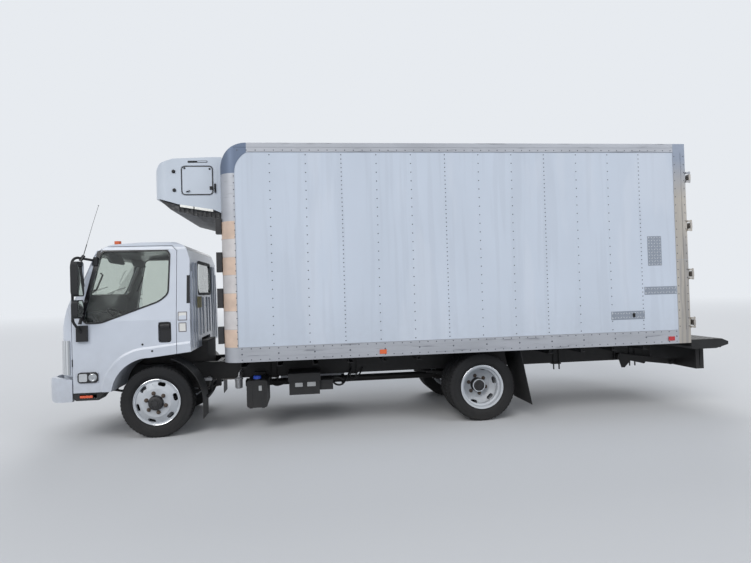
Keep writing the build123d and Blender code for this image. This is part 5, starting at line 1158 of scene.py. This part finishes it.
# Cooling unit: hatch seals and catches, knobs, vent slot, trim and edge strips
HATCH = rect(0.329, 2.771, 0.695, 3.119, 0.040, 10)
HATCH_FACE = 0.951
UNIT_FACE = 0.9495
VENT_SLOT = ((0.408, 3.150), (0.632, 3.152), (0.632, 3.176), (0.408, 3.174))
SLOT_INSERT = ((0.518, 3.157), (0.624, 3.158), (0.624, 3.170), (0.518, 3.169))
STRIP_START = (0.301, 2.672)
SHROUD_FALL = 63 / 379         # how far the shroud's upper edge falls for each metre back
HATCH_SEAL = ((-0.016, -0.001), (-0.016, 0.004), (-0.0065, 0.004), (-0.0065, -0.001))
for side, name in SIDES:
    body = f"hatch_body_{name}"
    seal = Form(side)
    seal.loft("y", [(widened(HATCH, grow), HATCH_FACE + lift) for grow, lift in HATCH_SEAL], closed=True)
    seal.piece(f"hatch_seal_{name}", SEAL, "black_plastic", body)
    catch = Form(side)
    catch.block((0.652, HATCH_FACE, 2.835), (0.690, HATCH_FACE + 0.013, 2.875))
    catch.tube([(0.388, HATCH_FACE + 0.010, 2.812), (0.402, HATCH_FACE + 0.016, 2.816),
                (0.432, HATCH_FACE + 0.016, 2.824)], 0.006, 10)
    for x, z in ((0.372, 3.088), (0.655, 3.078)):
        catch.lathe([(0.0, 0.012), (0.008, 0.011), (0.009, 0.0)], (x, HATCH_FACE + 0.002, z), sides=16)
    catch.piece(f"hatch_catches_{name}", PLASTIC, "black_plastic", body, bevel=0.003)
    fittings = Form(side)
    for x, z in ((0.249, 3.050), (0.253, 2.834)):
        fittings.lathe([(0.0, 0.021), (0.010, 0.020), (0.016, 0.015), (0.018, 0.0)], (x, UNIT_FACE, z),
                       sides=24)
    fittings.block((0.703, UNIT_FACE, 2.800), (0.722, 0.966, 2.905))
    fittings.tube([(0.7125, 0.968, 2.890), (0.7125, 0.976, 2.860), (0.7125, 0.968, 2.830)], 0.005, 8)
    fittings.slab(rounded(VENT_SLOT, 0.010), "y", UNIT_FACE - 0.0002, 0.0022)
    fittings.piece(f"unit_fittings_{name}", PLASTIC, "black_plastic", bevel=0.002)
    trim = Form(side)
    trim.slab(rounded(SLOT_INSERT, 0.004), "y", HATCH_FACE, 0.0022)
    for low_x, high_x, low_z in ((0.735, 0.742, 2.62), (0.764, 0.770, 2.60)):
        trim.block((low_x, UNIT_FACE, low_z), (high_x, UNIT_FACE + 0.002, 3.19))
    trim.piece(f"unit_trim_{name}", UNIT_WHITE_SHADED, "unit_white", bevel=0.001)
    strip = Form(side)
    for low, high in ((0.312, 0.462), (0.474, 0.682)):
        corners = ((low, 0.030), (high, 0.030), (high, 0.002), (low, 0.002))
        outline = [(x, STRIP_START[1] - (x - STRIP_START[0]) * SHROUD_FALL - drop) for x, drop in corners]
        strip.slab(outline, "y", UNIT_FACE + 0.001, -0.012)
    strip.piece(f"unit_edge_strips_{name}", BRIGHT_EDGE, "unit_white", bevel=0.001)

pipes = Form(-1)
for y, radius in ((0.830, 0.014), (0.800, 0.011), (0.772, 0.008)):
    x = BODY_FRONT - 0.016
    pipes.tube([(BODY_FRONT - 0.10, y, 2.560), (BODY_FRONT - 0.04, y, 2.520), (x, y, 2.440), (x, y, 1.70),
                (x, y, 0.94), (x + 0.02, y * 0.99, 0.86), (x + 0.08, y * 0.97, 0.83)], radius, 10)
for z in (1.05, 1.45, 1.85, 2.25):
    pipes.block((BODY_FRONT + 0.004, 0.856, z), (BODY_FRONT - 0.033, 0.756, z + 0.022))
pipes.piece("unit_pipes", FRAME_BLACK, "black_plastic", bevel=0.002, smooth=35)

# Chassis: tank cap, blank plates, filter and bracket, all on the left
BLANKS = ((1.570, 0.494, 1.658, 0.541, 0.9005), (1.712, 0.494, 1.812, 0.545, 0.9005),
          (1.150, 0.482, 1.192, 0.540, 0.9605))
cap = Form(-1)
cap.lathe([(0.0, 0.044), (0.012, 0.046), (0.030, 0.044), (0.036, 0.038), (0.037, 0.0)], (1.130, 0.900, 0.615),
          "z", 10)
cap.lathe([(-0.004, 0.041), (0.014, 0.041), (0.018, 0.036), (0.018, 0.0)], (1.130, 0.900, 0.632), "z", 32)
cap.piece("tank_cap", BLUE_CAP, "black_plastic", smooth=30)
blanks = Form(-1)
for *corners, out in BLANKS:
    blanks.slab(rect(*corners, 0.005), "y", out, 0.0012)
blanks.piece("blank_plates", GREY_LABEL, "black_plastic")
gear = Form(-1)
gear.lathe([(-0.062, 0.0), (-0.062, 0.030), (-0.055, 0.044), (0.040, 0.046), (0.046, 0.052), (0.060, 0.052),
            (0.066, 0.030), (0.066, 0.0)], (0.880, 0.560, 0.520), axis="z", sides=28)
gear.tube([(0.880, 0.560, 0.586), (0.885, 0.540, 0.640), (0.900, 0.480, 0.662), (0.905, 0.425, 0.664)], 0.014)
gear.block((0.850, 0.520, 0.575), (0.910, 0.424, 0.590))
gear.slab(rect(0.455, 0.578, 0.572, 0.612, 0.008), "y", 0.640, -0.060)
gear.block((0.500, 0.590, 0.588), (0.530, 0.424, 0.604))
gear.piece("filter_and_bracket", GREY_PLATE, "frame_black", smooth=35, bevel=0.002)

# Lines in clips along both rails, and hoses to the battery box, the tank and the axles
LEFT_HOSES = (
    (0.012, (2.02, 0.70, 0.510), (2.07, 0.72, 0.470), (2.14, 0.70, 0.470), (2.20, 0.60, 0.520),
     (2.26, 0.46, 0.600), (2.28, 0.424, 0.640)),
    (0.010, (2.02, 0.62, 0.535), (2.10, 0.64, 0.545), (2.22, 0.60, 0.490), (2.36, 0.52, 0.540),
     (2.42, 0.424, 0.630)),
    (0.011, (1.24, 0.56, 0.560), (1.30, 0.54, 0.480), (1.38, 0.52, 0.470), (1.50, 0.50, 0.520)),
)
AXLE_HOSES = (
    (0.008, (AXLE_R - 0.10, 0.34, 0.560), (AXLE_R - 0.16, 0.40, 0.640), (AXLE_R - 0.20, 0.412, 0.690)),
    (0.007, (0.02, 0.60, 0.440), (0.10, 0.52, 0.500), (0.14, 0.42, 0.600)),
)
lines = Form()
for side in (-1, 1):
    lines.side = side
    for z, radius in ((0.735, 0.009), (0.708, 0.006), (0.690, 0.006)):
        lines.tube(smoothed([(x, RAIL_HALF - radius, z) for x in (0.60, 2.4, 4.6, 6.2)], 3), radius, 10)
    for number in range(14):
        x = 0.75 + number * 0.4
        lines.block((x, RAIL_HALF, 0.680), (x + 0.022, RAIL_HALF - 0.021, 0.748))
    for radius, *points in AXLE_HOSES + (LEFT_HOSES if side < 0 else ()):
        lines.tube(smoothed(points, 6), radius, 10)
lines.piece("chassis_lines", SEAL, "frame_black")

# Rear doors: seals, bolts of the straps and keepers, and kick plates
DOOR_IN, DOOR_OUT = 0.006, BODY_HALF - 0.101
HINGE_HEIGHTS = (1.100, 1.700, 2.300, 2.900)
ROD_OUT = (0.120, 0.560)
KEEPER_HEIGHTS = (door_low.z + 0.060, 1.400, 2.000, 2.600, door_high.z - 0.060)
KICK_LOW, KICK_HIGH = door_low.z + 0.020, door_low.z + 0.300


def bolt(form, x, y, z, radius, height):
    form.lathe([(0.0, 0.0), (0.0, radius), (height, radius), (height + 0.001, 0.0)], (x, y, z), "x", 6)


for side, name in SIDES:
    body = f"cargo_door_body_{name}"
    seal = Form(side)
    for y0, z0, y1, z1 in ((DOOR_OUT - 0.014, door_low.z, DOOR_OUT, door_high.z),
                           (DOOR_IN, door_low.z, DOOR_IN + 0.012, door_high.z),
                           (DOOR_IN, door_high.z - 0.014, DOOR_OUT, door_high.z),
                           (DOOR_IN, door_low.z, DOOR_OUT, door_low.z + 0.014)):
        seal.block((DOOR_FACE - 0.030, y0, z0), (DOOR_FACE + 0.003, y1, z1))
    seal.piece(f"cargo_door_seal_{name}", SEAL, "black_plastic", body, bevel=0.003)
    hardware = Form(side)
    for z in HINGE_HEIGHTS:
        for y in (0.955, 1.005, 1.055, 1.100):
            for drop in (-0.018, 0.018):
                bolt(hardware, DOOR_FACE + 0.010, y, z - drop, 0.009, 0.006)
    for rod_y in ROD_OUT:
        for z in KEEPER_HEIGHTS:
            for y in (rod_y - 0.042, rod_y + 0.042):
                hardware.block((DOOR_FACE, y - 0.012, z - 0.024), (DOOR_FACE + 0.006, y + 0.012, z + 0.024))
                bolt(hardware, DOOR_FACE + 0.006, y, z, 0.007, 0.005)
    hardware.piece(f"door_bolts_{name}", STAINLESS, "stainless", body, bevel=0.001)
    kick = Form(side)
    kick.block((DOOR_FACE, 0.022, KICK_LOW), (DOOR_FACE + 0.0015, DOOR_OUT - 0.018, KICK_HIGH))
    for y in spaced(0.04, DOOR_OUT - 0.04, 0.12):
        for z in (KICK_LOW + 0.015, KICK_HIGH - 0.015):
            kick.dome((DOOR_FACE + 0.0015, y, z), BEHIND, 0.006, 0.0025)
    for y in (0.29, 0.76, 0.99):
        for z in spaced(door_low.z + 0.36, door_high.z - 0.05, 0.1):
            kick.dome((DOOR_FACE, y, z), BEHIND, 0.006, 0.0025)
    kick.piece(f"door_kick_plate_{name}", RAIL_METAL, "body_aluminium", body, bevel=0.0005)

# The blank rear plate is screwed to the folded platform's ribs and moves with it
rear = Form()
outline = rect(-0.753, 0.532, -0.447, 0.684, 0.012)
rear.slab(outline, "x", PLATFORM_FACE + 0.0055, 0.0015)
rear.piece("rear_plate", LABEL, "cab_white", "lift_platform_body")
holder = Form()
holder.slab(widened(outline, 0.005), "x", PLATFORM_FACE + 0.0003, 0.0047)
for y in (-0.70, -0.50):
    holder.dome((PLATFORM_FACE + 0.007, y, 0.668), BEHIND, 0.007, 0.003)
holder.piece("rear_plate_holder", SEAL, "frame_black", "lift_platform_body", bevel=0.001)

# Dock bumpers and tail lenses on the deck's edge
bumpers = Form()
lens = Form()
for side in (-1, 1):
    for y in (side * 1.00, side * 0.20):
        bumpers.slab(rect(y - 0.085, 0.757, y + 0.085, 0.817, 0.012), "x", DECK_EDGE + 0.0005, 0.010)
    for y in (side * 0.880, side * 1.080):
        outline = rect(y - 0.072, 0.821, y + 0.072, 0.841, 0.006)
        lens.loft("x", [(widened(outline, grow), DECK_EDGE - 0.002 + lift)
                        for grow, lift in ((0.0, -0.003), (0.0, 0.001), (-0.004, 0.003))], True)
bumpers.piece("dock_bumpers", SEAL, "frame_black", bevel=0.002)
lens.piece("tail_lenses", RED_LENS, "lamp_amber")

# Floor, backdrop, lights and camera
CAMERA_PLACE = (-1.1809, -7.6727, 1.6203)
CAMERA_YAW, CAMERA_PITCH, CAMERA_ROLL = radians(-7.158), radians(0.819), radians(-1.684)
CAMERA_LENS = 27.04
BACKDROP = (0.80, 0.83, 0.87, 1)
FLOOR_REACH = 90
FADE = (16, 60)                # where the floor starts to fade into the backdrop, and where it has


def seen_directly(tree):
    """1 for the rays that show a background: from the camera, in reflections and through glass."""
    path = node(tree, "LightPath", {})
    total = path["Is Camera Ray"]
    for ray in ("Is Glossy Ray", "Is Transmission Ray"):
        total = node(tree, "Math", {0: total, 1: path[ray]}, operation="MAXIMUM")["Value"]
    return total


def stage():
    """A wide pale floor that fades into a pale surround."""
    mesh = bpy.data.meshes.new("studio_floor")
    corners = flat(rect(-FLOOR_REACH, -FLOOR_REACH, FLOOR_REACH, FLOOR_REACH), "z", 0)
    mesh.from_pydata(corners, [], [(0, 1, 2, 3)])
    floor = bpy.data.objects.new("studio_floor", mesh)
    bpy.context.scene.collection.objects.link(floor)
    material, tree, shader = graph("studio_floor")
    feed(tree, shader, {"Base Color": (0.56, 0.57, 0.585, 1), "Roughness": 0.9, "Specular IOR Level": 0.1})
    away = node(tree, "VectorMath", {0: object_place(tree)}, operation="LENGTH")["Value"]
    share = times(tree, remap(tree, away, *FADE, interpolation_type="SMOOTHSTEP"), seen_directly(tree))
    glow = node(tree, "Emission", {"Color": BACKDROP})["Emission"]
    faded = node(tree, "MixShader", {0: share, 1: shader.outputs["BSDF"], 2: glow})["Shader"]
    feed(tree, tree.nodes["Material Output"], {"Surface": faded})
    mesh.materials.append(material)

    world = bpy.data.worlds.new("studio")
    world.use_nodes = True
    tree = world.node_tree
    sky = tree.nodes["Background"]
    feed(tree, sky, {"Color": (0.86, 0.90, 0.96, 1), "Strength": 0.62})
    pale = node(tree, "Background", {"Color": BACKDROP})["Background"]
    both = node(tree, "MixShader", {0: seen_directly(tree), 1: sky.outputs["Background"], 2: pale})["Shader"]
    feed(tree, tree.nodes["World Output"], {"Surface": both})
    bpy.context.scene.world = world


def lamp(name, place, strength, spread, colour):
    """A soft lamp, far off in the direction of a place."""
    light = bpy.data.lights.new(name, "SUN")
    light.energy = strength
    light.angle = radians(spread)
    light.color = colour
    stand = bpy.data.objects.new(name, light)
    bpy.context.scene.collection.objects.link(stand)
    stand.location = place
    stand.rotation_euler = (-Vector(place)).to_track_quat("-Z", "Y").to_euler()


def camera():
    data = bpy.data.cameras.new("camera")
    data.lens = CAMERA_LENS
    data.sensor_width = 36
    stand = bpy.data.objects.new("camera", data)
    bpy.context.scene.collection.objects.link(stand)
    ahead = Vector((-sin(CAMERA_YAW), cos(CAMERA_YAW), 0))
    forward = ahead * cos(CAMERA_PITCH) + Vector((0, 0, sin(CAMERA_PITCH)))
    level = Vector((cos(CAMERA_YAW), sin(CAMERA_YAW), 0))
    up = level.cross(forward)
    right = level * cos(CAMERA_ROLL) + up * sin(CAMERA_ROLL)
    top = up * cos(CAMERA_ROLL) - level * sin(CAMERA_ROLL)
    matrix = Matrix((right, top, -forward)).transposed().to_4x4()
    matrix.translation = CAMERA_PLACE
    stand.matrix_world = matrix
    bpy.context.scene.camera = stand


stage()
lamp("key", (-7, -11, 9), 1.5, 35, (1.0, 0.98, 0.95))
lamp("fill", (9, -8, 7), 0.7, 40, (0.95, 0.97, 1.0))
lamp("back", (2, 12, 9), 1.2, 40, (1.0, 1.0, 1.0))
camera()
bpy.context.scene.view_settings.view_transform = "Standard"
